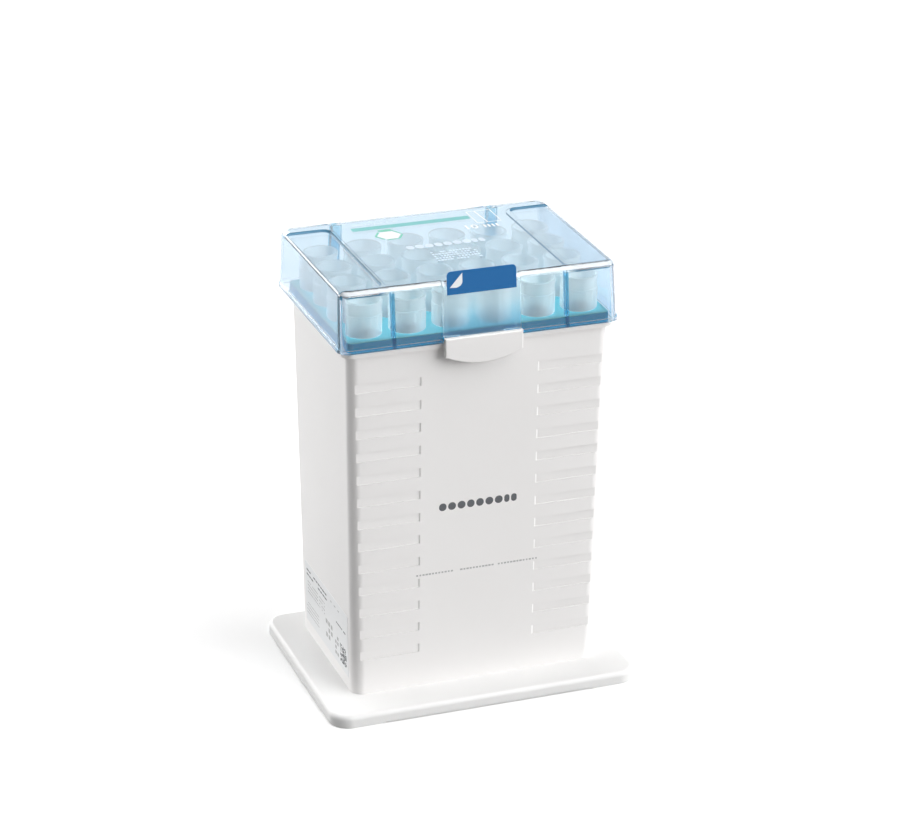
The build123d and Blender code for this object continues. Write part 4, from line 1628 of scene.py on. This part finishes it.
@dataclass(frozen=True)
class StudioSky:
    """A studio's light by direction: two side panels, a top lamp, a white back wall and a dim front."""

    panels: tuple[LightPanel, ...] = (
        LightPanel(52.0, 34.0, 3.0, 30.0, 5.3),
        LightPanel(-150.0, 40.0, 3.0, 30.0, 6.4),
    )
    lamp: LightDisc = LightDisc(39.0, 60.0, 22.0, 6.0, 2.8)
    shines: tuple[LightDisc, ...] = (
        LightDisc(20.0, 80.0, 44.0, 12.0, 7.0),
        LightDisc(-166.0, 20.0, 13.0, 8.0, 4.0),
    )
    dim_azimuth: float = -45.0
    dim_half_width: float = 85.0
    wall_half_width: float = 120.0
    dim_light: float = 0.0
    wall_light: float = 0.7
    dome_light: float = 0.16
    dome_low: float = 30.0
    dome_high: float = 45.0
    through_light: float = 0.95
    gain: float = 1.25

    def toward(self, sheet: Sheet, ray: NodeSocket, azimuth: float, elevation: float = 0.0) -> NodeSocket:
        """Cosine of the angle between a ray and a direction of the sky."""
        aim = (cosine(elevation) * sine(azimuth), -cosine(elevation) * cosine(azimuth), sine(elevation))
        return sheet.vector_maths("DOT_PRODUCT", ray, aim).outputs["Value"]

    def disc_mask(self, sheet: Sheet, ray: NodeSocket, disc: LightDisc) -> NodeSocket:
        """Mask of a round soft box for a ray."""
        outer, inner = (cosine(max(disc.radius + side * disc.soft / 2, 0.0)) for side in (1, -1))
        return sheet.ramp(self.toward(sheet, ray, disc.azimuth, disc.elevation), outer, inner)

    def panel_mask(
        self, sheet: Sheet, level: NodeSocket, height: NodeSocket, panel: LightPanel
    ) -> NodeSocket:
        """Mask of an upright panel of sky.

        Args:
            sheet: The world's sheet.
            level: Level unit direction of the ray.
            height: Sine of the ray's elevation.
            panel: Place, size and soft edge of the panel.

        Returns:
            1 inside and 0 outside.
        """
        half, side, rise = panel.half_width, panel.soft / 2, panel.soft / 4
        width = sheet.ramp(self.toward(sheet, level, panel.azimuth), cosine(half + side), cosine(half - side))
        bottom = sheet.ramp(height, sine(panel.low - rise), sine(panel.low + rise))
        top = sheet.ramp(height, sine(panel.high - rise), sine(panel.high + rise), 1.0, 0.0)
        return sheet.product(width, bottom, top)

    def build(self) -> None:
        """Make the world's light."""
        world = bpy.data.worlds.new("studio_sky")
        bpy.context.scene.world = world
        world.use_nodes = True
        world.node_tree.nodes.clear()
        sheet = Sheet(world.node_tree)
        ray = sheet.add("ShaderNodeTexCoord").outputs["Generated"]
        x, y, height = sheet.axes(ray)
        level = sheet.vector_maths("NORMALIZE", sheet.vector(x, y)).outputs[0]
        front = self.toward(sheet, level, self.dim_azimuth)
        walls = (cosine(self.wall_half_width), cosine(self.dim_half_width), self.wall_light, self.dim_light)
        overhead = sheet.ramp(height, sine(self.dome_low), sine(self.dome_high))
        upright = sheet.product(sheet.ramp(front, *walls), sheet.maths("SUBTRACT", 1.0, overhead))
        total = sheet.maths("ADD", upright, sheet.product(overhead, self.dome_light))
        masks = [(self.panel_mask(sheet, level, height, panel), panel.strength) for panel in self.panels]
        masks.append((self.disc_mask(sheet, ray, self.lamp), self.lamp.strength))
        light = sheet.add("ShaderNodeLightPath").outputs
        for shine in self.shines:
            seen = sheet.product(light["Is Glossy Ray"], self.disc_mask(sheet, ray, shine))
            masks.append((seen, shine.strength))
        for mask, strength in masks:
            total = sheet.maths("ADD", total, sheet.product(mask, strength))
        total = sheet.blend(light["Is Transmission Ray"], total, self.through_light)
        glow = sheet.add("ShaderNodeBackground", {"Strength": sheet.product(total, self.gain)})
        sheet.add("ShaderNodeOutputWorld", {"Surface": glow.outputs[0]})


@dataclass(frozen=True)
class StudioFloor:
    """A plain pale floor, bright to look at with faint shadows, and dimmer in what it throws back."""

    half_width: float = 6.0
    seen_colour: Colour = (1.0, 1.0, 1.0)
    bounced_colour: Colour = (0.31, 0.31, 0.31)
    lift: float = 0.16

    def build(self) -> None:
        """Make the floor."""
        sides = ((-1, -1), (1, -1), (1, 1), (-1, 1))
        corners = [(x * self.half_width, y * self.half_width, 0.0) for x, y in sides]
        mesh = bpy.data.meshes.new("studio_floor")
        mesh.from_pydata(corners, [], [(0, 1, 2, 3)])
        sheet = MaterialSheet("floor_pale")
        light = sheet.add("ShaderNodeLightPath").outputs
        mesh.materials.append(sheet.dress({
            "Base Color": sheet.mix(light["Is Diffuse Ray"], self.seen_colour, self.bounced_colour),
            "Roughness": 1.0,
            "Specular IOR Level": 0.0,
            "Emission Color": (1.0, 1.0, 1.0),
            "Emission Strength": sheet.product(light["Is Camera Ray"], self.lift),
        }))
        add_object("studio_floor", mesh)


@dataclass(frozen=True)
class StudioCamera:
    """The camera, set by its place, its direction and its lens."""

    place: tuple[float, float, float] = (-0.42658, -1.17818, 0.64832)
    azimuth: float = -19.908
    elevation: float = 23.008
    roll: float = 0.3225
    lens: float = 124.24
    sensor: float = 36.0
    clip_start: float = 0.05
    clip_end: float = 50.0

    def build(self) -> None:
        """Make the camera and give it to the scene."""
        data = bpy.data.cameras.new("studio_camera")
        data.lens = self.lens
        data.sensor_width = self.sensor
        data.clip_start = self.clip_start
        data.clip_end = self.clip_end
        camera = add_object("studio_camera", data)
        aim = turned(self.azimuth, "Z") @ turned(90.0 - self.elevation, "X") @ turned(self.roll, "Z")
        camera.matrix_world = Matrix.Translation(Vector(self.place)) @ aim
        bpy.context.scene.camera = camera


def set_light_paths() -> None:
    """Give light enough turns for clear walls inside clear walls, and plain picture tones."""
    scene = bpy.context.scene
    for name, value in LIGHT_PATHS.items():
        setattr(scene.cycles, name, value)
    scene.view_settings.view_transform = "Standard"


def main() -> None:
    """Build every piece in order, then the studio."""
    logging.basicConfig(level=logging.INFO, format="%(name)s: %(message)s", stream=sys.stdout)
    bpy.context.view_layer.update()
    shop = Workshop()
    for part in (BasePlate(), RackBody(), TipTray(), TipSet(), Lid(), SealLabel(), SideLabel()):
        part.make(shop)
    for stage in (StudioSky(), StudioFloor(), StudioCamera()):
        stage.build()
    set_light_paths()


if __name__ == "__main__":
    main()
